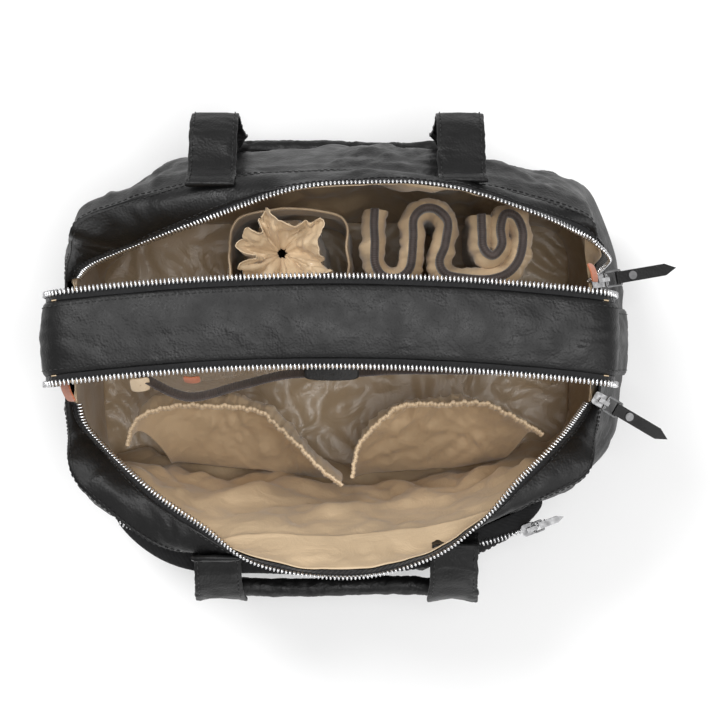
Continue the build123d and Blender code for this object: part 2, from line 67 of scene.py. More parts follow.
MM = 0.001
BAG_MIDDLE = (0.0, 0.0, 120.0)
RIM = 170.1
SEAM = {-1: 224.1, 1: 246.0}
BAND_HALF = 26.0
BAND_BOW = 13.0
TEETH_OFF = 31.3
END, RUN = 130.0, 410.0
LOOP = 2 * END + RUN
MOUTH_START = 47.0
HALF_NAME = {-1: "front", 1: "rear"}
FOOT_Z = 4.2                        # height where the walls leave the base
BASE_TOP = 2.1                      # upper face of the base leather
ZIP_FOOT = 160                      # lower ends of the zips beside the band
TAPE_THICK = 0.9
SLACK = {-1: 24.0, 1: 13.0}         # how far each wall lining hangs in
LINING_GAP = 5.2                    # between a wall's leather and its lining
ELASTIC_TOP = 190.0                 # rim of the elastic pockets
VINYL_LOW, VINYL_TOP = 146, 271     # heights of the clear pocket
MAT_FOOT = 33                       # the mat stands this high
POUCH_AT = (-36.0, 63.5)
NECK_Z = 229                        # the pouch is tied here

# height, then half length at corner and middle, then depth at corner and middle, front and rear
SHELL = np.array([
    (4.2, 203, 205, 104, 106, 104, 106),
    (60, 210, 220, 122, 140, 121, 137),
    (111, 212, 229, 129, 152, 131, 149),
    (170.1, 198, 204, 120, 154, 124, 147),
    (224.1, 193, 197, 99, 148, 104, 130),
    (246, 192, 194, 86, 136, 89, 122)], float)

LIP = {
    -1: [(-192, -47, 171), (-181, -67, 186), (-131, -109, 226), (-93, -134, 242), (-53, -160, 256),
         (14, -169, 262), (70, -156, 258), (107, -132, 245), (136, -101, 232), (169, -70, 208),
         (192, -46, 171)],
    1: [(-192, 48, 171), (-173, 59, 196), (-93, 85, 250), (-28, 106, 278), (28, 111, 280),
        (84, 108, 279), (149, 89, 264), (187, 73, 238), (203, 62, 222), (203, 56, 200), (194, 46, 171)],
}


# ---------------------------------------------------------------- curves and grids
def spline(points, where):
    """Catmull-Rom curve: each stretch is the cubic through two points with slopes from their neighbours."""
    p = np.asarray(points, float)
    w = np.clip(np.asarray(where, float), 0, len(p) - 1)
    i = np.minimum(w.astype(int), len(p) - 2)
    f = (w - i).reshape(w.shape + (1,) * (p.ndim - 1))
    a, b, c, d = p[np.maximum(i - 1, 0)], p[i], p[i + 1], p[np.minimum(i + 2, len(p) - 1)]
    return 0.5 * (2 * b + (c - a) * f + (2 * a - 5 * b + 4 * c - d) * f**2
                  + (3 * b - 3 * c + d - a) * f**3)


def run_of(curve):
    """Distance run along a curve at each of its points."""
    return np.concatenate([[0], np.cumsum(np.linalg.norm(np.diff(curve, axis=0), axis=1))])


def even(curve, count):
    """The same curve with its points at equal distances along it."""
    run = run_of(curve)
    where = np.linspace(0, run[-1], count)
    return np.stack([np.interp(where, run, curve[:, i]) for i in range(curve.shape[1])], 1)


def curve_of(points, count):
    """Smooth curve through the points, evenly divided."""
    return even(spline(points, np.linspace(0, len(points) - 1, 40 * len(points))), count)


def unit(v):
    """Vectors at length one."""
    return v / np.maximum(np.linalg.norm(v, axis=-1, keepdims=True), 1e-9)


def step(x):
    """Smooth step: 3x2 - 2x3 between 0 and 1."""
    x = np.clip(x, 0, 1)
    return x * x * (3 - 2 * x)


def normals_of(grid):
    """Unit normals of a grid: the cross product of its two slopes."""
    return unit(np.cross(np.gradient(grid, axis=0), np.gradient(grid, axis=1)))


def seeded_waves(rng, size, low, high, count):
    """Wave vectors in seeded directions, their lengths from low to high times size."""
    return unit(rng.normal(size=(count, 3))) * (2 * np.pi / (size * rng.uniform(low, high, count)))[:, None]


def ripple(p, size, seed, waves=12):
    """Sum of plane waves of about one length in seeded directions, about -1.5 to 1.5."""
    rng = np.random.default_rng(seed)
    way = seeded_waves(rng, size, 0.7, 1.4, waves)
    return np.sin(p @ way.T + rng.uniform(0, 2 * np.pi, waves)).sum(-1) / np.sqrt(waves)


def wander(p, size, seed):
    """Three ripples as one vector."""
    return np.stack([ripple(p, size, seed + k) for k in (1, 2, 3)], -1)


def zigzag(x, sharp):
    """Triangle wave from -1 to 1; the nearer sharp is to 1, the sharper its corners."""
    return np.arcsin(np.sin(x) * sharp) * 2 / np.pi


def crumple(p, size, seed):
    """Creases: a ripple read at places another ripple has shifted, folded up where it is negative."""
    shift = wander(p, size * 2.2, seed) * size * 0.4
    big = np.abs(ripple(p + shift, size, seed))
    small = np.abs(ripple(p + shift, size * 0.45, seed + 7))
    return big * 0.7 + small * 0.3 - 0.6


def facets(p, size, seed, waves=6):
    """Crumpled cloth: sum of triangle waves in seeded directions, so flat bits meet in straight creases."""
    rng = np.random.default_rng(seed)
    way = seeded_waves(rng, size, 0.6, 1.8, waves)
    shift = wander(p, size * 2.5, seed) * size * 0.16
    phase = (p + shift) @ way.T + rng.uniform(0, 2 * np.pi, waves)
    return zigzag(phase, 0.985).sum(-1) / np.sqrt(waves)


# ---------------------------------------------------------------- the bag's outline
def level(z):
    """Half lengths and depths at height z, read smoothly from the table."""
    return np.moveaxis(spline(SHELL[:, 1:], np.interp(z, SHELL[:, 0], np.arange(len(SHELL)))), -1, 0)


def plan(side, t, z):
    """Half outline at run t: an end wall, the long wall and an end wall, each a parabola in plan."""
    xc, xm, yfc, yfm, yrc, yrm = level(z)
    yc, ym = (yfc, yfm) if side < 0 else (yrc, yrm)
    near = np.minimum(t, LOOP - t)
    y_end = yc * near / END
    x_end = xm - (xm - xc) * (y_end / yc) ** 2
    u = np.clip((t - END) / RUN * 2 - 1, -1, 1)
    y_long = ym - (ym - yc) * u**2
    if side < 0:
        y_long = y_long + 25 * np.exp(-((xc * u + 124) / 50) ** 2) * step((z - 128) / 90)
    x = np.where(near < END, np.where(t < LOOP / 2, -x_end, x_end), xc * u)
    x = np.where(x < 0, x * slim(xm), x)
    return np.stack([x, side * np.where(near < END, y_end, y_long)], -1)


def slim(xm):
    """The left end bulges less than the right one."""
    return 1 - 0.085 * np.clip((xm - 204) / 25, 0, 1)


# how far each corner is drawn in: (side, end)
DRAWN_IN = {(-1, -1): 0.16, (-1, 1): 0.36, (1, -1): 0.46, (1, 1): 0.14}
SOFT = np.arange(-24, 24.1, 4)
WEIGHT = np.exp(-(SOFT / 9.5) ** 2 / 2)
WEIGHT /= WEIGHT.sum()


def shell_point(side, t, z, out=0.0):
    """Outline rounded at its corners by a bell-weighted average along the run, then moved out."""
    t, z = np.broadcast_arrays(np.asarray(t, float), np.asarray(z, float))
    half = level(z)
    half_x, half_y = half[1], half[3 if side < 0 else 5]

    def soft(at):
        p = sum(w * plan(side, at + d, z) for d, w in zip(SOFT, WEIGHT))
        past = np.clip(np.abs(p[..., 0]) / half_x + np.abs(p[..., 1]) / half_y - 1.4, 0, 1)
        pull = np.where(p[..., 0] < 0, DRAWN_IN[side, -1], DRAWN_IN[side, 1])
        pull = pull * (1 - 0.75 * step((z - 165) / 60)) * step(z / 45)
        return p * (1 - pull * past**2 / (past + 0.08))[..., None]

    here = soft(t)
    along = unit(soft(t + 2) - soft(t - 2))
    outward = np.stack([along[..., 1], -along[..., 0]], -1) * (1 if side < 0 else -1)
    here = here + outward * np.asarray(out)[..., None]
    return np.concatenate([here, z[..., None]], -1)


def top_of(side, t):
    """Height of the shell's upper edge: the rim beside the band, rising round the corner to the seam."""
    near = np.minimum(t, LOOP - t)
    return RIM + (SEAM[side] - RIM) * step((near - 44) / 78)


def run_at(side, x, z):
    """Run along the outline where the long wall stands at x."""
    return END + RUN * (np.asarray(x, float) / level(np.asarray(z, float))[0] + 1) / 2


def seam_curve(side, count):
    """Seam between the wall and its strip, evenly divided."""
    t = np.linspace(MOUTH_START, LOOP - MOUTH_START, 500)
    return even(shell_point(side, t, top_of(side, t)), count)


def lip_curve(side, count):
    """Lip of the open mouth, evenly divided."""
    return curve_of(LIP[side], count)


def bow(x):
    """How far the band's middle stands to the rear at x."""
    return BAND_BOW * np.clip(1 - (np.asarray(x) / 201) ** 2, 0, 1)


# ---------------------------------------------------------------- meshes
def grid_faces(rows, cols, round_u=False, round_v=False):
    """Four-sided faces between neighbouring points of a grid, closed round where asked."""
    index = np.arange(rows * cols).reshape(rows, cols)
    index = np.vstack([index, index[:1]]) if round_u else index
    index = np.hstack([index, index[:, :1]]) if round_v else index
    return np.stack([index[:-1, :-1], index[1:, :-1], index[1:, 1:], index[:-1, 1:]], -1).reshape(-1, 4)


def grid_uv(grid, round_u=False, round_v=False):
    """Map in metres: distance run along each way of the grid."""
    grid = np.concatenate([grid, grid[:1]], 0) if round_u else grid
    grid = np.concatenate([grid, grid[:, :1]], 1) if round_v else grid
    u = np.concatenate([[0], np.cumsum(np.linalg.norm(np.diff(grid, axis=0), axis=2).mean(1))])
    v = np.concatenate([[0], np.cumsum(np.linalg.norm(np.diff(grid, axis=1), axis=2).mean(0))])
    uv = np.stack(np.meshgrid(u, v, indexing="ij"), -1) * MM
    return np.stack([uv[:-1, :-1], uv[1:, :-1], uv[1:, 1:], uv[:-1, 1:]], 2).reshape(-1, 2)


def make_mesh(name, points, faces, uv=None):
    """Object whose mesh has these points, in millimetres, and these arrays of faces."""
    mesh = bpy.data.meshes.new(name)
    loops = np.concatenate([f.ravel() for f in faces])
    sizes = np.concatenate([np.full(len(f), f.shape[1]) for f in faces])
    mesh.vertices.add(len(points))
    mesh.vertices.foreach_set("co", (points * MM).astype(np.float32).ravel())
    mesh.loops.add(len(loops))
    mesh.loops.foreach_set("vertex_index", loops.astype(np.int32))
    mesh.polygons.add(len(sizes))
    mesh.polygons.foreach_set("loop_start", np.concatenate([[0], np.cumsum(sizes)[:-1]]).astype(np.int32))
    layer = mesh.uv_layers.new(name="UVMap")
    if uv is not None:
        whole = np.zeros((len(loops), 2), np.float32)
        whole[:len(uv)] = uv
        layer.data.foreach_set("uv", whole.ravel())
    mesh.update(calc_edges=True)
    mesh.validate()
    mesh.shade_smooth()
    piece = bpy.data.objects.new(name, mesh)
    bpy.context.scene.collection.objects.link(piece)
    return piece


def grid_piece(name, grid, material, thick=0.0, away=BAG_MIDDLE, round_u=False, round_v=False,
               caps=False, offset=-1.0):
    """Sheet or tube from a grid, with its faces turned away from a point."""
    rows, cols = grid.shape[:2]
    quads = grid_faces(rows, cols, round_u, round_v)
    uv = grid_uv(grid, round_u, round_v)
    spin = unit(grid - (grid.mean(1, keepdims=True) if away is None else np.array(away)))
    inward = (normals_of(grid) * spin).sum() < 0
    if inward:
        quads, uv = quads[:, ::-1], uv.reshape(-1, 4, 2)[:, ::-1].reshape(-1, 2)
    faces = [quads]
    if caps:
        ring = np.arange(cols)
        first, last = ring[None, :], ring[None, ::-1] + (rows - 1) * cols
        faces += [first[:, ::-1], last[:, ::-1]] if inward else [first, last]
    piece = make_mesh(name, grid.reshape(-1, 3), faces, uv)
    piece.data.materials.append(material)
    if thick:
        wall = piece.modifiers.new("thickness", "SOLIDIFY")
        wall.thickness, wall.offset = thick * MM, offset
    return piece


def sweep(path, wide, half_wide, half_thick, power=2.0, count=14, trough=0.0):
    """Rounded box section carried along a path: |a/A|^p + |b/B|^p = 1 in the path's own cross frame."""
    n = len(path)
    along = unit(np.gradient(path, axis=0))
    wide = np.broadcast_to(np.asarray(wide, float), (n, 3))
    wide = unit(wide - (wide * along).sum(1, keepdims=True) * along)
    up = np.cross(along, wide)
    turn = np.linspace(0, 2 * np.pi, count, endpoint=False)
    c, s = np.cos(turn), np.sin(turn)
    sharp = 2 / np.broadcast_to(power, (n,))[:, None]
    a = np.sign(c) * np.abs(c) ** sharp * np.broadcast_to(half_wide, (n,))[:, None]
    b = np.sign(s) * np.abs(s) ** sharp * np.broadcast_to(half_thick, (n,))[:, None]
    b = b + np.broadcast_to(trough, (n,))[:, None] * (a / np.broadcast_to(half_wide, (n,))[:, None]) ** 2
    return path[:, None] + wide[:, None] * a[..., None] + up[:, None] * b[..., None]


def copies(shape, faces, places, axes):
    """One small shape at many places: each copy's points are turned by its three axes, then moved."""
    points = places[:, None] + np.einsum("mj,njk->nmk", shape, axes)
    shift = (np.arange(len(places)) * len(shape))[:, None, None]
    return points.reshape(-1, 3), [(f[None] + shift).reshape(-1, f.shape[1]) for f in faces]


def frames_along(path, up):
    """Axes at each point: along the path, across it, and up."""
    along = unit(np.gradient(path, axis=0))
    up = unit(up - (up * along).sum(1, keepdims=True) * along)
    return np.stack([along, np.cross(up, along), up], 1)


def spindle(length, radius):
    """One stitch: five-sided rings that swell and close to points, bent down at both ends."""
    x = np.array([-0.32, 0.0, 0.32]) * length
    turn = np.arange(5) * 2 * np.pi / 5
    size = np.array([0.8, 1.0, 0.8]) * radius
    ring = np.stack([np.repeat(x, 5), np.outer(size, np.cos(turn)).ravel(),
                     np.outer(size, np.sin(turn)).ravel()], 1)
    ring[:, 2] += radius * 0.4
    ends = np.array([(-length / 2, 0, -radius * 0.8), (length / 2, 0, -radius * 0.8)])
    k = np.arange(5)
    j = (k + 1) % 5
    quads = np.concatenate([np.stack([k + o, j + o, j + o + 5, k + o + 5], 1) for o in (0, 5)])
    tips = np.concatenate([np.stack([j, k, k * 0 + 15], 1), np.stack([k + 10, j + 10, k * 0 + 16], 1)])
    return np.concatenate([ring, ends]), [quads[:, ::-1], tips[:, ::-1]]


def tooth(length, width, height):
    """One zip tooth: an eight-sided block with a bevelled top and a nose towards the other chain."""
    turn = (np.arange(8) + 0.5) * np.pi / 4
    x, y = np.cos(turn), np.sin(turn)
    scale = 1 / np.maximum(np.abs(x), np.abs(y))
    x, y = x * scale, y * scale
    rings = [(1.0, 1.0, 0.0), (1.0, 1.0, 0.62), (0.62, 0.78, 1.0)]
    points = np.concatenate([np.stack([x * a * length / 2, y * b * width / 2, x * 0 + c * height], 1)
                             for a, b, c in rings])
    k = np.arange(8)
    j = (k + 1) % 8
    quads = np.concatenate([np.stack([k + o, j + o, j + o + 8, k + o + 8], 1) for o in (0, 8)])
    return points, [quads, np.arange(16, 24)[None], np.arange(7, -1, -1)[None]]


def at_pitch(path, up, pitch):
    """Places at a fixed distance from each other along a path, with the up direction there."""
    run = run_of(path)
    where = np.arange(pitch * 0.5, run[-1], pitch)
    pick = [np.stack([np.interp(where, run, a[:, i]) for i in range(3)], 1) for a in (path, up)]
    return pick[0], pick[1]


def repeat_piece(name, shape, faces, rows, pitch, material):
    """One mesh of copies of a small shape along several rows, each a path and its up directions."""
    places, axes = [], []
    for path, up in rows:
        p, u = at_pitch(path, up, pitch)
        places.append(p)
        axes.append(frames_along(p, u))
    points, many = copies(shape, faces, np.concatenate(places), np.concatenate(axes))
    piece = make_mesh(name, points, many)
    piece.data.materials.append(material)
    return piece


def stitching(name, rows, length=3.5, radius=0.42):
    """Stitches one stitch length apart along the rows."""
    return repeat_piece(name, *spindle(length, radius), rows, bpy.context.scene.bag_sizes.stitch / MM,
                        finish("thread"))


def zip_teeth(name, line, up, width=4.6):
    """One row of zip teeth along a line."""
    pitch = bpy.context.scene.bag_sizes.tooth / MM
    return repeat_piece(name, *tooth(pitch * 0.62, width, 2.3), [(line, up)], pitch, finish("metal"))


# ---------------------------------------------------------------- finishes
class Finish:
    """Builds one node material; each method adds a node and returns an output to link."""

    def __init__(self, name, **shader):
        self.material = bpy.data.materials.get(name) or bpy.data.materials.new(name)
        self.material.use_nodes = True
        self.tree = self.material.node_tree
        self.tree.nodes.clear()
        self.shader = self.add("ShaderNodeBsdfPrincipled")
        out = self.add("ShaderNodeOutputMaterial")
        self.tree.links.new(self.shader.outputs[0], out.inputs["Surface"])
        for key, value in shader.items():
            self.shader.inputs[key.replace("_", " ")].default_value = value
        coords = self.add("ShaderNodeTexCoord")
        self.place, self.map = coords.outputs["Object"], coords.outputs["UV"]

    def add(self, kind, **settings):
        node = self.tree.nodes.new(kind)
        for key, value in settings.items():
            setattr(node, key, value)
        return node

    def set(self, socket, value):
        if isinstance(value, bpy.types.NodeSocket):
            self.tree.links.new(value, socket)
        else:
            socket.default_value = value

    def noise(self, scale, detail=3.0, distortion=0.0):
        node = self.add("ShaderNodeTexNoise")
        self.set(node.inputs["Vector"], self.place)
        node.inputs["Scale"].default_value = scale
        node.inputs["Detail"].default_value = detail
        node.inputs["Distortion"].default_value = distortion
        return node.outputs["Fac"]

    def cells(self, scale, feature="SMOOTH_F1"):
        node = self.add("ShaderNodeTexVoronoi", feature=feature)
        self.set(node.inputs["Vector"], self.place)
        node.inputs["Scale"].default_value = scale
        return node.outputs["Distance"]

    def wave(self, scale, axis, where=None):
        node = self.add("ShaderNodeTexWave", bands_direction=axis)
        self.set(node.inputs["Vector"], where or self.map)
        node.inputs["Scale"].default_value = scale
        return node.outputs["Fac"]

    def math(self, kind, a, b=0.0):
        node = self.add("ShaderNodeMath", operation=kind)
        self.set(node.inputs[0], a)
        self.set(node.inputs[1], b)
        return node.outputs[0]

    def ramp(self, value, low, high, start=0.3, end=0.7):
        """Spreads a value between start and end over low to high."""
        node = self.add("ShaderNodeMapRange")
        self.set(node.inputs["Value"], value)
        for key, number in zip(("From Min", "From Max", "To Min", "To Max"), (start, end, low, high)):
            node.inputs[key].default_value = number
        return node.outputs["Result"]

    def colours(self, value, dark, light):
        node = self.add("ShaderNodeValToRGB")
        node.color_ramp.elements[0].position, node.color_ramp.elements[1].position = 0.25, 0.75
        node.color_ramp.elements[0].color = (*dark, 1)
        node.color_ramp.elements[1].color = (*light, 1)
        self.set(node.inputs["Fac"], value)
        self.set(self.shader.inputs["Base Color"], node.outputs["Color"])

    def bumps(self, *layers):
        """Chain of bumps: each layer is a height, its strength and its depth in metres."""
        below = None
        for height, strength, depth in layers:
            node = self.add("ShaderNodeBump")
            node.inputs["Strength"].default_value = strength
            node.inputs["Distance"].default_value = depth
            self.set(node.inputs["Height"], height)
            if below:
                self.set(node.inputs["Normal"], below)
            below = node.outputs["Normal"]
        self.set(self.shader.inputs["Normal"], below)


def shade(colour, factor):
    """A colour made darker or lighter."""
    return tuple(float(c) * factor for c in colour[:3])


def slider_finish(look):
    f = Finish("dull_slider_metal", Metallic=1.0)
    f.colours(f.noise(240, 3), shade(look.metal, 0.2), shade(look.metal, 0.34))
    f.set(f.shader.inputs["Roughness"], f.ramp(f.noise(300, 2), 0.4, 0.55))
    f.bumps((f.noise(400, 2), 0.03, 0.0002))
    return f.material


def leather_finish(look):
    f = Finish("pebbled_leather", Specular_IOR_Level=0.32)
    f.colours(f.noise(28, 4), shade(look.leather, 0.6), shade(look.leather, 1.5))
    f.set(f.shader.inputs["Roughness"], f.ramp(f.noise(60, 3), 0.4, 0.58))
    f.bumps((f.noise(24, 3, distortion=0.6), 0.35, 0.004), (f.noise(95, 4, distortion=0.8), 0.3, 0.0012),
            (f.cells(620), 0.5, 0.0005))
    return f.material


def lining_finish(look):
    f = Finish("satin_lining", Roughness=0.36, Sheen_Weight=0.2, Sheen_Roughness=0.4, Specular_IOR_Level=0.6)
    f.colours(f.noise(16, 4), shade(look.lining, 0.82), shade(look.lining, 1.1))
    weave = f.math("MULTIPLY", f.wave(260, "X"), f.wave(260, "Y"))
    f.bumps((f.noise(42, 4, distortion=1.6), 0.4, 0.003), (f.cells(70, "DISTANCE_TO_EDGE"), 0.18, 0.0012),
            (f.noise(180, 3, distortion=0.7), 0.2, 0.0006), (weave, 0.12, 0.0002))
    return f.material


def metal_finish(look):
    f = Finish("polished_zip_metal", Metallic=1.0)
    f.colours(f.noise(240, 3), shade(look.metal, 0.78), shade(look.metal, 1.1))
    f.set(f.shader.inputs["Roughness"], f.ramp(f.noise(700, 3), 0.14, 0.34))
    f.bumps((f.noise(900, 2), 0.12, 0.0002))
    return f.material


def tape_finish(look):
    f = Finish("woven_tape", Roughness=0.82, Sheen_Weight=0.25, Specular_IOR_Level=0.25)
    f.colours(f.noise(300, 3), shade(look.tape, 0.7), shade(look.tape, 1.5))
    ribs = f.wave(160, "DIAGONAL")
    f.bumps((ribs, 0.5, 0.0004), (f.noise(900, 2), 0.3, 0.0002))
    return f.material


def binding_finish(look):
    f = Finish("grosgrain_binding", Roughness=0.6, Sheen_Weight=0.3, Specular_IOR_Level=0.35)
    f.colours(f.noise(120, 3), shade(look.binding, 0.65), shade(look.binding, 1.5))
    f.bumps((f.noise(60, 3), 0.3, 0.001), (f.wave(190, "X"), 0.5, 0.0004))
    return f.material


def thread_finish(look):
    f = Finish("waxed_thread", Roughness=0.5)
    f.colours(f.noise(500, 2), shade(look.thread, 0.7), shade(look.thread, 1.4))
    f.bumps((f.wave(900, "DIAGONAL", where=f.place), 0.4, 0.0002))
    return f.material


def vinyl_finish(look):
    f = Finish("clear_vinyl_sheet", Alpha=0.26, Specular_IOR_Level=0.8, Base_Color=(0.9, 0.9, 0.9, 1))
    f.set(f.shader.inputs["Roughness"], f.ramp(f.noise(30, 3), 0.05, 0.16))
    f.bumps((f.noise(22, 3, distortion=1.2), 0.6, 0.006))
    return f.material


def patch_finish(look):
    f = Finish("plain_patch", Roughness=0.6, Sheen_Weight=0.2)
    f.colours(f.noise(90, 3), shade(look.patch, 0.75), shade(look.patch, 1.15))
    f.bumps((f.math("MULTIPLY", f.wave(300, "X"), f.wave(300, "Y")), 0.3, 0.0003))
    return f.material


def board_finish(look):
    f = Finish("grey_board", Roughness=0.9)
    f.colours(f.noise(150, 5), (0.16, 0.14, 0.12), (0.26, 0.23, 0.2))
    f.bumps((f.noise(600, 3), 0.3, 0.0003))
    return f.material


FINISHES = {"leather": leather_finish, "lining": lining_finish, "metal": metal_finish,
            "slider": slider_finish, "tape": tape_finish, "binding": binding_finish,
            "thread": thread_finish, "vinyl": vinyl_finish, "patch": patch_finish, "board": board_finish}


def finish(name):
    """The finish of this name, made once."""
    made = bpy.data.materials.get("bag_" + name)
    if made is None:
        made = FINISHES[name](bpy.context.scene.bag_look)
        made.name = "bag_" + name
    return made


def put(piece, body=None, half=None, nodes=()):
    """Puts a piece on its body, or bakes its placement for one half, and hides the nodes it stands for."""
    if half:
        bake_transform(piece)
    else:
        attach(piece, body)
    if nodes:
        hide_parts(*nodes)
    return piece


def cover(name, grid, look, thick=0.0, body=None, half=None, nodes=(), **shape):
    """A piece made from a grid, with its finish, put on its body."""
    return put(grid_piece(name, grid, finish(look), thick, **shape), body, half, nodes)


def give_way(piece):
    """Gives a soft piece its own copy of its mesh."""
    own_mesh(piece)


# ---------------------------------------------------------------- settings
def length(name, description, default):
    """A length that can be set, in metres."""
    return FloatProperty(name=name, description=description, default=default, unit="LENGTH")


def colour(name, description, default):
    """A colour that can be set."""
    return FloatVectorProperty(name=name, description=description, subtype="COLOR", default=default)


class BagSizes(PropertyGroup):
    """Sizes a maker would change."""
    leather: length("Leather thickness", "Thickness of the outer leather", 0.0022)
    lining: length("Lining thickness", "Thickness of the lining cloth", 0.0007)
    crease: length("Leather creasing", "Depth of the soft creases in the leather", 0.0022)
    crumple: length("Lining crumple", "Depth of the folds in the lining", 0.0055)
    stitch: length("Stitch length", "Distance from one stitch to the next", 0.0046)
    tooth: length("Tooth pitch", "Distance from one zip tooth to the next", 0.0029)
    tape: length("Zip tape", "Width of zip tape that shows beside the teeth", 0.0048)


class BagLook(PropertyGroup):
    """Colours of the finishes."""
    leather: colour("Leather", "Colour of the leather", (0.0036, 0.0035, 0.0036))
    lining: colour("Lining", "Colour of the lining cloth", (0.56, 0.425, 0.275))
    metal: colour("Zip metal", "Colour of teeth and sliders", (0.72, 0.72, 0.73))
    tape: colour("Webbing", "Colour of zip tape and webbing", (0.007, 0.007, 0.0075))
    binding: colour("Binding", "Colour of the ribbon binding", (0.034, 0.024, 0.021))
    thread: colour("Thread", "Colour of the stitching", (0.010, 0.010, 0.010))
    patch: colour("Patch", "Colour of the plain patches", (0.42, 0.12, 0.045))
    floor: colour("Floor", "Colour of the floor", (0.86, 0.86, 0.86))


# ---------------------------------------------------------------- leather shell
def shell_grid(side, rows=84, pitch=3.0, out=0.0):
    """Half shell: rows of height at each run, from the tucked foot to the upper edge, with creases."""
    t = np.arange(0, LOOP + pitch / 2, pitch)
    # height and place inward of the tucked foot
    foot = np.array([(0.9, -7.0), (1.2, -3.5), (2.2, -1.2), (4.5, -0.2)])
    share = np.linspace(0, 1, rows)[:, None] ** 1.02
    z = 8 + (top_of(side, t)[None] - 8) * share
    z = np.vstack([np.repeat(foot[:, :1], len(t), 1), z])
    out = np.concatenate([foot[:, 1], np.zeros(rows)])[:, None] + out
    grid = shell_point(side, t[None], z, np.broadcast_to(out, z.shape))
    share = np.clip((z - 12) / 60, 0, 1) * np.clip((top_of(side, t)[None] - z) / 26, 0.12, 1)
    near = np.minimum(t, LOOP - t)[None]
    share = share * step((near - 24) / 30)
    depth = bpy.context.scene.bag_sizes.crease / MM
    stretched = grid * np.array([1, 1, 0.72])
    push = (ripple(stretched, 120, 11) * 1.1 + crumple(stretched, 52, 21) * 1.5
            + crumple(stretched, 24, 31) * 0.45) * depth * share
    return grid + normals_out(grid) * np.clip(push, -1.2, 6)[..., None]


def normals_out(grid, middle=BAG_MIDDLE):
    """Normals turned as a whole to point away from a middle."""
    n = normals_of(grid)
    return n if (n * (grid - np.array(middle))).sum() > 0 else -n


class BAG_OT_shell(Operator):
    """Front and rear half shells of leather, each from one end's middle round to the other"""
    bl_idname = "bag.shell"
    bl_label = "Leather shell"

    def execute(self, context):
        thick = context.scene.bag_sizes.leather / MM
        for side in (-1, 1):
            name = HALF_NAME[side]
            nodes = [name + "_panel"] + (["side_wall_left", "side_wall_right"] if side < 0 else [])
            cover(name + "_leather_shell", shell_grid(side), "leather", thick, half=side, nodes=nodes)
        t = np.arange(0, LOOP, 6.0)
        edge = np.vstack([shell_point(side, t[::-side], FOOT_Z, -4.0) for side in (-1, 1)])
        grid = edge[None] * np.linspace(0.02, 1, 30)[:, None, None]
        grid[..., 2] = BASE_TOP
        cover("base_leather", grid, "leather", 2.0, body="bag", nodes=["base_panel"], away=(0, 0, 50),
              round_v=True)
        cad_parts["base_board"].data.materials[0] = finish("board")
        return {"FINISHED"}


# ---------------------------------------------------------------- centre band
def band_path(low):
    """Line of the band over the bag, from one end's height up, across and down to the other end."""
    z = np.array([3, 30, 60, 90, 111, 140, 160, 171])
    z = z[z >= low]
    legs = [(-(level(h)[1] + (1.8 if h > 8 else -3.0)), h) for h in z.astype(float)]
    left = [(x * float(slim(level(h)[1])), h) for x, h in legs]
    over = [(-204.5, 186), (-203.5, 215), (-202.6, 250), (-201.6, 272), (-199, 286), (-193, 295),
             (-183, 299.2), (-165, 299.8), (-110, 299.2), (-50, 298.4)]
    xz = np.array(left + over + [(0, 298.0)] + [(-x, h) for x, h in (legs + over)[::-1]])
    return curve_of(np.stack([xz[:, 0], xz[:, 0] * 0, xz[:, 1]], 1), 360)


def band_grid(low, near, far, cols, drop=0.0):
    """The band's line carried across its width; y is the bow of the middle plus the place across."""
    path = band_path(low)
    up = np.cross(unit(np.gradient(path, axis=0)), (0, -1.0, 0))
    up = up * np.sign((up * (path - np.array([0, 0, 150]))).sum())
    across = np.linspace(near, far, cols)
    grid = np.repeat(path[:, None], cols, 1)
    grid[..., 1] = bow(path[:, 0])[:, None] + across[None]
    return grid - up[:, None] * drop, up


class BAG_OT_band(Operator):
    """Leather band over the divider and down both ends, with its two stitched edges"""
    bl_idname = "bag.band"
    bl_label = "Centre band"

    def execute(self, context):
        sizes = context.scene.bag_sizes
        grid, up = band_grid(3, -BAND_HALF, BAND_HALF, 27)
        across = np.linspace(-1, 1, 27)
        crown = 1.5 * (1 - across**2) - 1.3 * np.clip((np.abs(across) - 0.9) / 0.1, 0, 1) ** 2
        wave = ripple(grid * np.array([1, 0.6, 1]), 95, 41) * 0.8 + crumple(grid, 34, 43) * 0.7
        push = crown[None] + wave * (1 - 0.75 * np.abs(across[None]) ** 3)
        grid = grid + up[:, None] * push[..., None]
        cover("centre_band_leather", grid, "leather", sizes.leather / MM, body="bag", nodes=["centre_band"])
        rows = [(grid[:, k] + up * 0.1, up) for k in (2, 24)]
        put(stitching("centre_band_stitching", rows), body="bag")
        for side in (-1, 1):
            name = HALF_NAME[side]
            inner = band_grid(ZIP_FOOT, side * (BAND_HALF - 2), side * (TEETH_OFF - 0.6), 5, drop=1.1)[0]
            cover(name + "_inner_tape", inner, "tape", TAPE_THICK, body="bag",
                  nodes=[name + "_inner_zip_tape"])
            line, top = band_grid(ZIP_FOOT, side * TEETH_OFF, side * TEETH_OFF + 0.01, 2, drop=1.2)
            put(zip_teeth(name + "_inner_teeth", line[:, 0], top), body="bag",
                nodes=[name + "_inner_zip_teeth"])
        return {"FINISHED"}


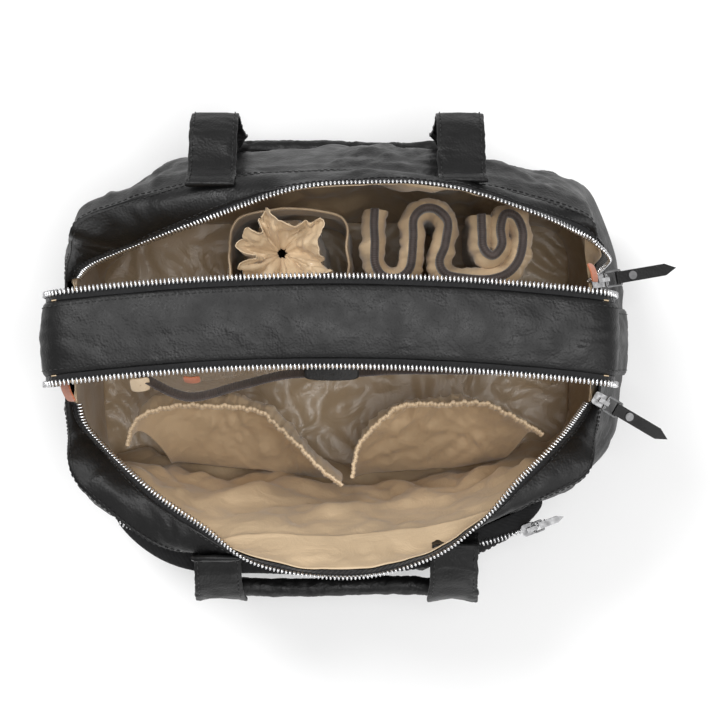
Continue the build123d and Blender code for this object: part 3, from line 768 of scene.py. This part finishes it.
# ---------------------------------------------------------------- mouths
def strip_grid(side, cols=220, rows=16):
    """Leather strip: straight lines from the seam to short of the lip, bulged, buckled and creased."""
    tape = bpy.context.scene.bag_sizes.tape / MM
    seam, lip = seam_curve(side, cols), lip_curve(side, cols)
    length = np.linalg.norm(lip - seam, axis=1)
    reach = 1 - np.minimum((tape + 1.4) / length, 0.75)
    share = np.linspace(0, 1, rows)[:, None, None]
    grid = seam[None] + (lip - seam)[None] * share * reach[None, :, None]
    out = normals_out(grid, (0, 0, 150))
    width = np.clip(length / 30, 0.2, 1)[None]
    across = np.linspace(0, 1, rows)[:, None]
    push = (2.6 * np.sin(np.pi * across) + (ripple(grid, 70, 51 + side) * 1.6
            + crumple(grid, 40, 61 + side) * 1.8) * np.sin(np.pi * np.clip(across, 0.04, 1) * 0.86)) * width
    push = np.clip(push, -0.4, 8)
    return grid + out * (push[..., None] + 0.3), out


class BAG_OT_mouths(Operator):
    """Leaning leather strips with the outer zip tapes and teeth on their lips"""
    bl_idname = "bag.mouths"
    bl_label = "Mouth strips and outer zips"

    def execute(self, context):
        sizes = context.scene.bag_sizes
        tape_width = sizes.tape / MM
        for side in (-1, 1):
            name = HALF_NAME[side]
            grid, out = strip_grid(side)
            cover(name + "_strip_leather", grid, "leather", sizes.leather / MM, half=side,
                  nodes=[name + "_top_strip"], away=(0, 0, 150))
            lip = lip_curve(side, grid.shape[1])
            edge = grid[-1]
            way = unit(lip - edge)
            share = np.linspace(-0.35, 1.0, 6)[:, None, None]
            tape = edge[None] + way[None] * share * tape_width - out[-1][None] * 1.1
            cover(name + "_outer_tape", tape, "tape", TAPE_THICK, half=side,
                  nodes=[name + "_outer_zip_tape"], away=(0, 0, 150))
            line = edge + way * (tape_width + 0.9) - out[-1] * 1.6
            put(zip_teeth(name + "_outer_teeth", line, out[-1]), half=side,
                nodes=[name + "_outer_zip_teeth"])
            rows = [(grid[-2] + out[-2] * 0.2, out[-2]), (grid[1] + out[1] * 0.2, out[1])]
            under = shell_grid(side)
            n = normals_out(under)
            keep = slice(16, -16)
            rows.append((under[-3, keep] + n[-3, keep] * 0.2, n[-3, keep]))
            put(stitching(name + "_strip_stitching", rows), half=side)
        return {"FINISHED"}


# ---------------------------------------------------------------- linings
def lining_grid(side, pitch=3.4):
    """Lining of one compartment: from the lip down inside the strip, then down the wall with slack."""
    t = np.arange(6, LOOP - 5, pitch)
    near = np.minimum(t, LOOP - t)
    seam_t = np.linspace(MOUTH_START, LOOP - MOUTH_START, 500)
    seam = shell_point(side, seam_t, top_of(side, seam_t))
    run = run_of(seam)
    share = np.interp(t, seam_t, run / run[-1])
    strip, out = strip_grid(side)
    strip = (strip - out * 4.0)[::-1]
    column = share * (strip.shape[1] - 1.001)
    k = column.astype(int)
    part = (column - k)[None, :, None]
    under = strip[:, k] * (1 - part) + strip[:, k + 1] * part
    gap = LINING_GAP + 3.0 * (1 - step((near - 120) / 60))
    top = shell_point(side, t, top_of(side, t), -gap)
    low = step((np.arange(len(strip)) - 8) / 7)[:, None, None]
    under = under * (1 - low) + (top[None] - np.array([0, 0, 2.0])) * low
    drop = 4.0 * (1 - step((near - 110) / 60))
    under[..., 2] -= drop[None] * step((np.arange(len(strip)) - 1) / 5)[:, None]
    plain = top[None] - np.array([0, 0, 0.3]) * np.arange(len(strip))[:, None, None]
    blend = step((near - 40) / 12)[None, :, None]
    upper = plain * (1 - blend) + under * blend
    long = step((near - 100) / 70)
    amount = SLACK[side] * long + 2.0
    wall_share = np.linspace(0, 1, 46)[:, None]
    upper_z = (top_of(side, t) - drop)[None]
    z = (upper_z - 5) + (12.0 - upper_z) * wall_share
    out = -(gap[None] + amount[None] * 4 * wall_share * (1 - wall_share))
    wall = shell_point(side, np.broadcast_to(t, z.shape), z, out)
    return np.vstack([upper, wall]), near


class BAG_OT_linings(Operator):
    """Crumpled lining cloth of both compartments, their floors and both faces of the divider"""
    bl_idname = "bag.linings"
    bl_label = "Linings"

    def execute(self, context):
        sizes = context.scene.bag_sizes
        depth, thick = sizes.crumple / MM, sizes.lining / MM
        for side in (-1, 1):
            name = HALF_NAME[side]
            grid, near = lining_grid(side)
            rows = len(grid)
            row = np.arange(rows)[:, None]
            share = (step((row - 9) / 16) * step((rows - 1 - row) / 4)
                     * (0.12 + 0.88 * step((near[None] - 62) / 80)))
            inward = -normals_out(grid, (0, 0, 120))
            squeezed = grid * np.array([1.0, 1.0, 0.6])
            push = (facets(squeezed, 50, 71 + side) * 0.75 + facets(squeezed, 21, 81 + side) * 0.28
                    + crumple(squeezed, 70, 75 + side) * 0.7 + ripple(squeezed, 95, 91 + side) * 0.35
                    + 0.6) * depth * share
            push = np.maximum(push, -1.2)
            grid = grid + inward * push[..., None]
            piece = cover(name + "_wall_cloth", grid, "lining", thick, half=side,
                          nodes=[name + "_wall_lining"], away=(0, 170 * side, 130), offset=1.0)
            x = np.linspace(-1, 1, 130)[:, None]
            v = np.linspace(0, 1, 40)[None]
            outer = shell_point(side, run_at(side, x[:, 0] * 196, 20.0 + x[:, 0] * 0), 12.0, -3.0)
            y = side * 9 + (outer[:, 1][:, None] - side * 9) * v
            floor = np.stack([np.broadcast_to(x * 197, y.shape), y, np.full(y.shape, 6.4)], -1)
            floor[..., 2] += np.clip(crumple(floor, 45, 101) * 3.0 + 2, 0.2, 6) * np.sin(np.pi * v) ** 0.4
            piece = cover(name + "_floor_cloth", floor, "lining", thick, body="bag",
                          nodes=[name + "_compartment_lining"], away=(0, 0, -500))
            z = np.linspace(7, 296, 60)[:, None]
            x = np.linspace(-1, 1, 150)[None] * (199 - 6 * step((z - 270) / 26))
            half = np.interp(z, [7, 111, 170, 296], [7, 12.6, 17.6, 26.5])
            y = side * half + bow(x) * z / 300
            cloth = np.stack([x, y, np.broadcast_to(z, x.shape)], -1)
            soft = step((z - 7) / 20) * step((296 - z) / 24)
            creases = facets(cloth * np.array([1, 1, 0.7]), 44, 111 + side)
            cloth[..., 1] += side * (creases * 0.7 + 0.7) * 1.6 * soft
            nodes = [name + "_divider_lining"] + (["divider_pad"] if side < 0 else [])
            piece = cover(name + "_divider_cloth", cloth, "lining", thick, body="bag", nodes=nodes,
                          away=(0, -400 * side, 150))
        return {"FINISHED"}


# ---------------------------------------------------------------- pockets inside
def wall_point(side, x, z, off):
    """Place on one compartment's wall lining, without its folds."""
    x, z = np.broadcast_arrays(np.asarray(x, float), np.asarray(z, float))
    share = (z - 7) / (SEAM[side] - 7)
    amount = SLACK[side] + 2
    return shell_point(side, run_at(side, x, z), z, -(3.6 + off + amount * 4 * share * (1 - share)))


class BAG_OT_pockets(Operator):
    """Elastic pockets, bottle pocket, clear pocket with its binding, label and tabs"""
    bl_idname = "bag.pockets"
    bl_label = "Inside pockets"

    def execute(self, context):
        thick = context.scene.bag_sizes.lining / MM
        edges = {"left": [(-153, -78), (-146, -60), (-130, -52), (-96, -50), (-62, -52), (-40, -66),
                          (-13, -93), (7, -108)],
                 "right": [(15, -102), (24, -74), (51, -52), (82, -48), (111, -48), (134, -58), (157, -70)]}
        for seed, (which, edge) in enumerate(edges.items()):
            rim = curve_of([(x, y, ELASTIC_TOP) for x, y in edge], 190)
            z = np.linspace(64, 189, 60)[:, None]
            w = np.linspace(0, 1, 190)[None]
            wall = wall_point(-1, np.broadcast_to(rim[None, :, 0] * 0.97, (60, 190)),
                              np.broadcast_to(z, (60, 190)), 5)
            grow = (0.06 + 0.94 * step((z - 50) / 125))[..., None]
            grid = wall + (rim - wall[-1])[None] * grow
            grid[..., 2] = z
            lean = np.clip(4 * w * (1 - w), 0, 1)
            gather = step((z - 120) / 68)
            fold = np.sin(2 * np.pi * w * 19 + 1.9 * np.sin(9 * w + seed)) + 0.5 * np.sin(2 * np.pi * w * 41)
            puff = np.sin(np.pi * np.clip((z - 64) / 135, 0.02, 1)) ** 0.6
            tall = grid * np.array([1, 1, 0.4])
            soft = facets(tall, 26, 120 + seed) * 1.6 + crumple(tall, 34, 125 + seed) * 3.0
            push = (fold * 0.6 * gather + soft * puff + 4 * puff) * lean**0.5
            grid = grid + normals_out(grid, (0, -400, 120)) * push[..., None]
            piece = cover("elastic_pocket_%s_cloth" % which, grid, "lining", thick, half=-1,
                          nodes=["elastic_pocket_" + which], away=(0, -400, 120))
            line = even(grid[-1], 640)
            run = np.arange(640) * np.linalg.norm(line[1] - line[0])
            line[:, 2] = ELASTIC_TOP + 1.0 * np.sin(run / 9 + seed)
            ruffle = np.sin(2 * np.pi * run / 3.1 + 2.2 * np.sin(run / 17))
            band = sweep(line, (0, 0.25, 1), 4.4 + 0.3 * ruffle, 1.6 + 0.34 * np.roll(ruffle, 2), 2.6, 12)
            cover("pocket_elastic_%s_band" % which, band, "lining", half=-1,
                  nodes=["pocket_elastic_" + which], away=None, round_v=True, caps=True)

        sling = curve_of([(-79, 34, 0), (-78, 60, 0), (-77, 80, 0), (-66, 94, 0), (-30, 98, 0), (0, 96, 0),
                          (12, 84, 0), (13, 60, 0), (13, 43, 0)], 190)
        z = np.linspace(8, 196, 56)[:, None]
        cloth = np.repeat(sling[None], 56, 0)
        cloth[..., 2] = z - 8 * np.sin(np.linspace(0, np.pi, 190))[None] * (z / 196)
        out = normals_out(cloth, (-32, 60, 100))
        push = facets(cloth * np.array([1, 1, 0.5]), 30, 131) * 1.8 + ripple(cloth, 60, 133) * 1.5
        push = push * step((z - 8) / 30)
        cloth = cloth + out * push[..., None]
        piece = cover("bottle_pocket_cloth", cloth, "lining", thick, body="bag", nodes=["bottle_pocket"],
                      away=(-32, 60, 100))
        give_way(piece)
        hem = sweep(cloth[-1] + np.array([0, 0, -2.0]), (0, 0, 1), 4.0, 1.1, 3.0, 10)
        give_way(cover("bottle_pocket_hem", hem, "lining", body="bag", away=None, round_v=True, caps=True))

        edge = curve_of([(-140, -19, 271), (-127, -29, 271), (-99, -40, 270), (-64, -32, 271),
                         (-29, -24, 272), (14, -23, 272), (49, -21, 272), (105, -21, 271),
                         (138, -20, 270)], 200)
        z = np.linspace(VINYL_LOW, VINYL_TOP, 40)[:, None]
        foot = edge.copy()
        foot[:, 1] = -(16.0 + 3.4) + bow(edge[:, 0]) * VINYL_LOW / 300
        share = (z - VINYL_LOW) / (VINYL_TOP - VINYL_LOW)
        sheet = foot[None] + (edge - foot)[None] * (share**1.6)[..., None]
        sheet[..., 2] = z
        sheet[..., 1] -= np.sin(np.pi * share) * (ripple(sheet, 75, 141) * 1.2 + 1.6)
        piece = cover("clear_pocket_vinyl", sheet, "vinyl", 0.5, body="bag", nodes=["clear_pocket_sheet"],
                      away=(0, 400, 200))
        top = sheet[-1] + np.array([0, 0, 2.0])
        ribbon = sweep(top, (0, -0.62, 0.78), 4.8, 1.1, 3.0, 12)
        cover("clear_pocket_ribbon", ribbon, "binding", body="bag", nodes=["clear_pocket_binding"],
              away=None, round_v=True, caps=True)
        self.plates()
        return {"FINISHED"}

    @staticmethod
    def plates():
        """Small soft squares: |x/a|^5 + |y/b|^5 = 1 about a middle, slightly domed."""
        plates = (("blank_label", (1, -23.5, 289.5), (1, 0, 0), (0, -0.74, -0.67), 19, 5.6, "leather",
                   ["label_patch"]),
                  ("care_tab_cloth", (-134, -31, 275), (1, 0.1, 0), (0, -0.6, -0.8), 7.0, 7.5, "lining",
                   ["care_tab"]),
                  ("side_tab_cloth", (-176, -24, 283), (0.9, 0.3, 0), (0, -0.8, -0.6), 7.0, 5.5, "lining", []),
                  ("plain_patch_left", (-97, -27.5, 282), (1, 0, 0), (0, -0.4, -0.92), 6, 5, "patch", []),
                  ("plain_patch_end", (-186, -36, 268), (0.4, -1, 0), (-0.5, 0, -0.85), 8, 8, "patch", []),
                  ("plain_patch_right", (186, 48, 262), (0.3, -1, 0), (0.5, 0, -0.85), 7, 5, "patch", []))
        turn = np.linspace(0, 2 * np.pi, 40, endpoint=False)
        c, s = (np.sign(v) * np.abs(v) ** 0.4 for v in (np.cos(turn), np.sin(turn)))
        r = np.linspace(0.03, 1, 12)[:, None]
        for name, middle, wide, tall, a, b, look, nodes in plates:
            wide, tall = unit(np.array(wide, float)), unit(np.array(tall, float))
            up = np.cross(wide, tall)
            up = up * (1 if up[2] > 0 else -1)
            lift = 1.2 * (1 - (r * c[None]) ** 2)
            grid = (np.array(middle, float) + (r * c * a)[..., None] * wide + (r * s * b)[..., None] * tall
                    + lift[..., None] * up)
            cover(name, grid, look, 1.0, body="bag", nodes=nodes, away=tuple(np.array(middle) - 50 * up),
                  round_v=True)


# ---------------------------------------------------------------- changing mat and pouch
MAT_LINE = [(31, 96), (31, 76), (32, 58), (38, 47.5), (49, 46), (57, 54), (58.5, 74), (60, 88), (67, 96),
            (77, 95), (85, 86), (83, 70), (79.5, 58), (84, 49), (98, 45.5), (115, 45), (129, 50), (137, 62), (139, 78),
            (134, 90), (126, 92), (123.5, 82), (124, 70), (117, 62), (110, 68), (109, 80), (109, 92)]


def mat_path():
    """Folds in plan: layers that run front to rear, joined by turns, the last ones rolled in."""
    path = curve_of([(x, y, 0) for x, y in MAT_LINE], 520)
    path[:, 0] += 0.8 * ripple(path, 30, 151)
    return path


def mat_ring(path, profile, low):
    """Upright section carried along the path: half thickness at each height, up one side and down."""
    profile = np.array(profile, float)
    ring = np.concatenate([profile, (profile * np.array([1, -1]))[::-1]])
    along = unit(np.gradient(path, axis=0))
    out = np.stack([along[:, 1], -along[:, 0], along[:, 0] * 0], 1)
    grid = path[:, None] + out[:, None] * ring[None, :, 1, None]
    grid[..., 2] = low + ring[None, :, 0] + 1.6 * ripple(path, 60, 155)[:, None] * (ring[None, :, 0] > 100)
    return grid


class BAG_OT_mat(Operator):
    """Changing mat folded to and fro, padded, with ribbon bound over its upper edge"""
    bl_idname = "bag.mat"
    bl_label = "Changing mat"

    def execute(self, context):
        path = mat_path()
        heights = np.array([0, 3, 12, 30, 55, 80, 105, 130, 150, 163, 173, 181, 187, 192, 196])
        halves = np.array([1.2, 3.4, 4.6, 5.2, 5.6, 6.0, 6.6, 7.4, 8.2, 8.8, 9.0, 8.4, 6.6, 3.6, 1.6])
        grid = mat_ring(path, np.stack([heights, halves], 1), MAT_FOOT)
        tall = np.array([1, 1, 0.35])
        side_share = np.clip((grid[..., 2] - 50) / 40, 0, 1)
        push = (facets(grid * tall, 15, 157) * 1.1 + crumple(grid * tall, 22, 158) * 1.6) * side_share
        grid = grid + normals_of_tube(grid) * push[..., None]
        pad = grid_piece("folded_mat", grid, finish("lining"), away=None, round_v=True, caps=True)
        ribbon = mat_ring(path, [(187.5, 2.6), (189, 3.3), (198, 3.1), (201.5, 2.4), (202.6, 1.0)],
                          MAT_FOOT)
        bound = grid_piece("mat_ribbon", ribbon, finish("binding"), away=None, round_v=True, caps=True)
        put(pad, body="mat", nodes=["changing_mat"])
        put(bound, body="mat", nodes=["changing_mat_binding"])
        give_way(pad)
        give_way(bound)
        return {"FINISHED"}


class BAG_OT_pouch(Operator):
    """Bottle pouch gathered by its drawcord, with a flared frill above the neck"""
    bl_idname = "bag.pouch"
    bl_label = "Gathered pouch"

    def execute(self, context):
        middle = np.array(POUCH_AT)
        profile = np.array([(0.4, 7.4), (18, 7.4), (27, 9), (30, 18), (31, 60), (31, 120), (30, 165), (25, 195),
                            (14, 214), (7.0, 225), (4.4, 229), (5.6, 232), (13, 240), (21, 247), (27.5, 253.5),
                            (31, 259), (31.5, 260.5)])
        dense = spline(profile, np.linspace(0, len(profile) - 1, 96))
        turn = np.linspace(0, 2 * np.pi, 240, endpoint=False)[None]
        z = dense[:, 1:2]
        open_share = step((z - 150) / 80)
        frill = step((z - NECK_Z) / 24)
        wobble = turn + 0.2 * np.sin(2 * turn + 1) + 0.13 * np.sin(5 * turn + 2)
        twist = wobble + 0.4 * (z - NECK_Z) / 30 * frill

        def fold(x):
            return zigzag(x, 0.98)

        pleat = (fold(9 * wobble) * 0.2 + fold(17 * wobble + 1.3) * 0.08) * open_share * (1 - 0.6 * frill)
        petal = fold(6 * twist + 0.8) * 0.2 * frill + fold(13 * twist) * 0.1 * frill
        r = np.maximum(dense[:, :1], 0.4) * (1 + pleat + petal - 0.06 * frill)
        lift = frill * (6.5 * fold(6 * twist + 2.6) + 3.5 * fold(11 * twist + 0.5) - 3.0)
        grid = np.stack([middle[0] + r * np.cos(turn) + 2.5 * frill, middle[1] + r * np.sin(turn) - 2 * frill,
                         z + lift], -1)
        flare = (facets(grid, 12, 163) * 1.0 + crumple(grid, 16, 165) * 1.6) * frill
        grid = grid + normals_out(grid, (*POUCH_AT, 120)) * flare[..., None]
        body = 1 - open_share
        grid = grid + (grid - np.array([*middle, 0])) * np.array([1, 1, 0]) * (
            (crumple(grid * np.array([1, 1, 0.5]), 30, 161) * 0.09) * step((z - 8) / 20) * body)[..., None]
        piece = cover("gathered_pouch", grid, "lining", 0.7, body="pouch", nodes=["bottle_pouch"],
                      away=(*POUCH_AT, 120), round_v=True)
        give_way(piece)
        a = np.linspace(0, 2 * np.pi, 60, endpoint=False)[:, None]
        b = np.linspace(0, 2 * np.pi, 10, endpoint=False)[None]
        ring = 7.6 + 0.7 * np.sin(7 * a) + 1.5 * np.cos(b)
        cord = np.stack([middle[0] + ring * np.cos(a), middle[1] + ring * np.sin(a),
                         228.8 + 1.5 * np.sin(b) + 0.8 * np.sin(3 * a)], -1)
        give_way(cover("pouch_tie", cord, "tape", body="pouch", nodes=["pouch_drawcord"], away=None,
                       round_u=True, round_v=True))
        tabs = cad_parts["pouch_tabs"]
        tabs.data.materials[0] = finish("tape")
        give_way(tabs)
        return {"FINISHED"}


# ---------------------------------------------------------------- handles
STRAP_PLACES = {-1: (-84, 90), 1: (-86, 94)}
STRAP_ROOT = {-1: (144.5, 220.5), 1: (121.5, 242.5)}


def handle_sizes(side):
    """Where the grip hangs and how far the straps stand out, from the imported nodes."""
    name = HALF_NAME[side]
    low, high = (np.array(c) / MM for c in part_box(name + "_handle_grip"))
    far = [np.array(c)[1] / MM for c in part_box(name + "_handle_straps")]
    seam_y, seam_z = STRAP_ROOT[side]
    return dict(xs=STRAP_PLACES[side], y=(low[1] + high[1]) / 2, top=high[2], grip=low[2] + 8,
                root=(seam_y, seam_z), hip=max(abs(v) for v in far) - 2)


def strap_line(side, x):
    """Strap from high on the strip, over the seam, out through knee and hip and down."""
    grid, out = strip_grid(side)
    k = int(np.argmin(np.abs(grid[0, :, 0] - x)))
    dist = np.linalg.norm(grid[:, k] - grid[0, k], axis=1)
    nearest = [int(np.argmin(np.abs(dist - d))) for d in (22, 15, 8, 2)]
    rise = [grid[row, k] + out[row, k] * 3.2 for row in nearest]
    h = handle_sizes(side)
    seam_y, seam_z = h["root"]
    far, hip = abs(h["y"]), h["hip"]
    low_z = h["top"] - 2
    rest = [(side * (seam_y + 8), seam_z - 2.5), (side * (seam_y + 28), seam_z - 11),
            (side * (hip - 5), seam_z - 24), (side * (hip - 0.08 * (hip - far)), seam_z - 38),
            (side * (hip + far) / 2, (seam_z - 38 + low_z) / 2), (side * far, low_z)]
    points = [(x, p[1], p[2]) for p in rise] + [(x, y, z) for y, z in rest]
    return np.array(points)


def handle_grid(side):
    """One strip of section from root to root: flat straps that curl, close and become a round grip."""
    h = handle_sizes(side)
    left, right = (strap_line(side, x) for x in h["xs"])
    r = 24.0
    a = np.linspace(0, np.pi / 2, 6)[1:-1]
    x1, x2 = h["xs"]
    low = h["grip"]
    bend_l = [(x1 + r * (1 - np.cos(t)), h["y"], low + r - r * np.sin(t)) for t in a]
    bend_r = [(x2 - r * (1 - np.cos(t)), h["y"], low + r - r * np.sin(t)) for t in a[::-1]]
    mid = [(x, h["y"] + side * 1.0 * np.sin((x - x1) / 30), low - 1.5 * np.sin(np.pi * (x - x1) / (x2 - x1)))
           for x in np.linspace(x1 + r + 6, x2 - r - 6, 7)]
    points = np.concatenate([left, bend_l, mid, bend_r, right[::-1]])
    path = curve_of(points, 420)
    n = len(path)
    run = run_of(path)
    run = np.minimum(run, run[-1] - run)
    straight = float(np.linalg.norm(np.diff(left, axis=0), axis=1).sum())
    roll = step((run - straight + 22) / 52)
    along = unit(np.gradient(path, axis=0))
    in_plane = np.stack([-along[:, 2], along[:, 0] * 0, along[:, 0]], 1)
    mirror = np.where(np.arange(n) < n / 2, 1.0, -1.0)[:, None]
    wide = unit(np.array([1.0, 0, 0]) * mirror * (1 - roll[:, None]) + in_plane * roll[:, None])
    flare = 2.0 * np.exp(-((run - straight + 18) / 16) ** 2)
    half_wide = 17.5 * (1 - roll) + 7.4 * roll + 0.3 * np.sin(run / 9) * roll + flare
    half_thick = 2.0 * (1 - roll) + 7.2 * roll
    power = 5.0 * (1 - roll) + 2.0 * roll
    curl = 4.0 * np.exp(-((run - straight + 10) / 15) ** 2)
    return path, wide, half_wide, half_thick, power, curl, run, straight


class BAG_OT_handles(Operator):
    """Handles: two flat straps that fold along their length into one rolled grip, on each side"""
    bl_idname = "bag.handles"
    bl_label = "Handles"

    def execute(self, context):
        for side in (-1, 1):
            name = HALF_NAME[side]
            path, wide, half_wide, half_thick, power, curl, run, straight = handle_grid(side)
            grid = sweep(path, wide, half_wide, half_thick, power, 36, trough=curl * side * -1)
            grid = grid + normals_of_tube(grid) * (crumple(grid, 20, 171 + side) * 0.7)[..., None]
            piece = grid_piece(name + "_handle_leather", grid, finish("leather"), away=None, round_v=True,
                               caps=True)
            nodes = [name + "_handle_straps", name + "_handle_grip"]
            self.join(piece, side)
            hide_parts(*nodes)
            keep = run < straight - 12
            rows = []
            up = np.cross(unit(np.gradient(path, axis=0)), wide)
            up = up * np.sign((up * (path - np.array([0, 0, 100.0]))).sum(1, keepdims=True))
            place = np.arange(len(path)) - len(path) / 2
            for first in (keep & (place < 0), keep & (place > 0)):
                for edge in (-1, 1):
                    line = path + wide * (half_wide * 0.84 * edge)[:, None] + up * 2.05
                    rows.append((line[first], up[first]))
            stitches = stitching(name + "_handle_stitching", rows, 3.3, 0.4)
            self.join(stitches, side)
        return {"FINISHED"}

    @staticmethod
    def join(piece, side):
        """Bakes the piece's placement into its mesh."""
        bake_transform(piece)


def normals_of_tube(grid):
    """Normals of a closed tube, turned away from its middle line."""
    around = np.concatenate([grid[:, -1:], grid, grid[:, :1]], 1)
    n = unit(np.cross(np.gradient(around, axis=0), np.gradient(around, axis=1)))[:, 1:-1]
    return n if (n * (grid - grid.mean(1, keepdims=True))).sum() > 0 else -n


# ---------------------------------------------------------------- zipped pocket on the front
def pocket_out(z):
    """How far the pocket's face stands off the front panel."""
    return np.interp(z, [24, 30, 60, 111, 150, 170, 180], [0, 9, 17, 20, 21, 21.5, 22])


class BAG_OT_front_pocket(Operator):
    """Zipped pocket on the front: puffed leather face, zip on its upper side and its stitching"""
    bl_idname = "bag.front_pocket"
    bl_label = "Front pocket"

    def execute(self, context):
        sizes = context.scene.bag_sizes
        rows, cols = 70, 150
        w = np.linspace(-1, 1, cols)[None]
        w = np.sign(w) * (1 - (1 - np.abs(w)) ** 1.25)
        z = 24 + 156 * np.linspace(0, 1, rows)[:, None] ** 0.9
        x = np.broadcast_to(168 * w, (rows, cols))
        z = np.broadcast_to(z, x.shape)
        puff = np.clip(1 - np.abs(w) ** 7, 0, 1) ** 0.5
        off = pocket_out(z) * (0.55 + 0.45 * (1 - w**2)) * puff
        grid = shell_point(-1, run_at(-1, x, z), z, off + 0.8)
        share = np.clip((z - 34) / 40, 0, 1) * np.clip((178 - z) / 20, 0, 1) * puff
        depth = sizes.crease / MM
        push = crumple(grid * np.array([1, 1, 0.8]), 44, 181) * 1.5 + crumple(grid, 21, 183) * 0.5
        push = push * depth * share
        grid = grid + normals_out(grid) * push[..., None]
        cover("front_pocket_leather", grid, "leather", sizes.leather / MM, body="front_shell",
              nodes=["front_pocket_face", "front_pocket_gusset"])
        top = grid[-1]
        back = shell_point(-1, run_at(-1, x[-1], z[-1]), z[-1] * 0 + 181.0, 0.6)
        v = np.linspace(0, 1, 12)[:, None, None]
        lid = top[None] + (back - top)[None] * v
        lid[..., 2] = 180.3 + 0.8 * np.sin(np.pi * v[..., 0])
        cover("front_pocket_tape", lid, "tape", TAPE_THICK, body="front_shell",
              nodes=["front_pocket_zip_tape"], away=(0, -150, 0))
        x = np.linspace(-161, 161, 200)
        line = np.stack([x, -(167.4 - 31.5 * (x / 161) ** 2), x * 0 + 180.8], 1)
        up = np.broadcast_to(np.array([0, 0, 1.0]), line.shape)
        put(zip_teeth("front_pocket_teeth", line, up, 4.8), body="front_shell",
            nodes=["front_pocket_zip_teeth"])
        n = normals_out(grid)
        lines = [(grid[-3], n[-3]), (grid[2, 6:-6], n[2, 6:-6])]
        lines += [(grid[3:-2, k], n[3:-2, k]) for k in (7, cols - 8)]
        lines = [(p + u * 0.2, u) for p, u in lines]
        put(stitching("front_pocket_stitching", lines), body="front_shell")
        return {"FINISHED"}


# ---------------------------------------------------------------- sliders and pulls
class BAG_OT_pulls(Operator):
    """Finishes of the zip sliders, wire loops, rivets and leather pull tabs"""
    bl_idname = "bag.pulls"
    bl_label = "Sliders and pulls"

    def execute(self, context):
        for name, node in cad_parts.items():
            if any(word in name for word in ("slider", "loop", "rivet")) or name == "pocket_pull_tab":
                look = "slider"
            elif name in ("front_pull_tab", "rear_pull_tab"):
                look = "leather"
            else:
                continue
            for slot in node.material_slots:
                slot.material = finish(look)
        return {"FINISHED"}


# ---------------------------------------------------------------- stage
class BAG_OT_stage(Operator):
    """Pale floor, soft lights and the camera above the open bag"""
    bl_idname = "bag.stage"
    bl_label = "Stage"

    def execute(self, context):
        scene = context.scene
        reach = np.linspace(-4000, 4000, 9)
        grid = np.stack(np.meshgrid(reach, reach, indexing="ij"), -1)
        grid = np.concatenate([grid, grid[..., :1] * 0 - 0.2], -1)
        f = Finish("pale_floor", Roughness=0.9, Specular_IOR_Level=0.1)
        colour = scene.bag_look.floor
        f.colours(f.noise(3, 2), shade(colour, 0.99), shade(colour, 1.01))
        floor = grid_piece("floor", grid, f.material, away=(0, 0, -900))
        world = bpy.data.worlds.new("studio")
        world.use_nodes = True
        back = world.node_tree.nodes["Background"]
        back.inputs["Color"].default_value = (1, 1, 1, 1)
        back.inputs["Strength"].default_value = 0.55
        scene.world = world
        lights = (("key", (-0.8, 0.9, 2.1), 0.8, 27), ("fill", (1.3, -0.7, 1.4), 1.3, 9),
                  ("top", (0.25, -0.1, 2.6), 0.9, 27), ("low", (0.2, -1.8, 0.5), 1.0, 5))
        for name, place, size, power in lights:
            data = bpy.data.lights.new(name, "AREA")
            data.size, data.energy, data.shape = size, power, "DISK"
            lamp = bpy.data.objects.new(name, data)
            lamp.location = place
            aim = Vector((0, 0, 0.15)) - Vector(place)
            lamp.rotation_euler = aim.to_track_quat("-Z", "Y").to_euler()
            scene.collection.objects.link(lamp)
        camera = bpy.data.objects.new("camera", bpy.data.cameras.new("camera"))
        camera.data.lens, camera.data.sensor_width = 94.2, 36
        camera.data.clip_end = 50
        camera.location = (0.0207, -0.014, 1.6)
        scene.collection.objects.link(camera)
        scene.camera = camera
        scene.view_settings.view_transform = "Standard"
        return {"FINISHED"}


class BAG_PT_panel(Panel):
    """Sizes, colours and the pieces that can be made"""
    bl_idname = "BAG_PT_panel"
    bl_label = "Nursery bag"
    bl_space_type = "VIEW_3D"
    bl_region_type = "UI"
    bl_category = "Bag"

    def draw(self, context):
        for settings in (context.scene.bag_sizes, context.scene.bag_look):
            for key in settings.__annotations__:
                self.layout.prop(settings, key)
        for operator in PIECES:
            self.layout.operator(operator.bl_idname)


PIECES = (BAG_OT_shell, BAG_OT_band, BAG_OT_mouths, BAG_OT_linings, BAG_OT_pockets, BAG_OT_mat,
          BAG_OT_pouch, BAG_OT_handles, BAG_OT_front_pocket, BAG_OT_pulls, BAG_OT_stage)
CLASSES = (BagSizes, BagLook, *PIECES, BAG_PT_panel)


def register():
    for cls in CLASSES:
        bpy.utils.register_class(cls)
    bpy.types.Scene.bag_sizes = PointerProperty(type=BagSizes)
    bpy.types.Scene.bag_look = PointerProperty(type=BagLook)


def unregister():
    del bpy.types.Scene.bag_look
    del bpy.types.Scene.bag_sizes
    for cls in reversed(CLASSES):
        bpy.utils.unregister_class(cls)


def main():
    """Makes every piece in order."""
    register()
    bpy.ops.bag.shell()
    bpy.ops.bag.band()
    bpy.ops.bag.mouths()
    bpy.ops.bag.linings()
    bpy.ops.bag.pockets()
    bpy.ops.bag.mat()
    bpy.ops.bag.pouch()
    bpy.ops.bag.handles()
    bpy.ops.bag.front_pocket()
    bpy.ops.bag.pulls()
    bpy.ops.bag.stage()


if __name__ == "__main__":
    main()
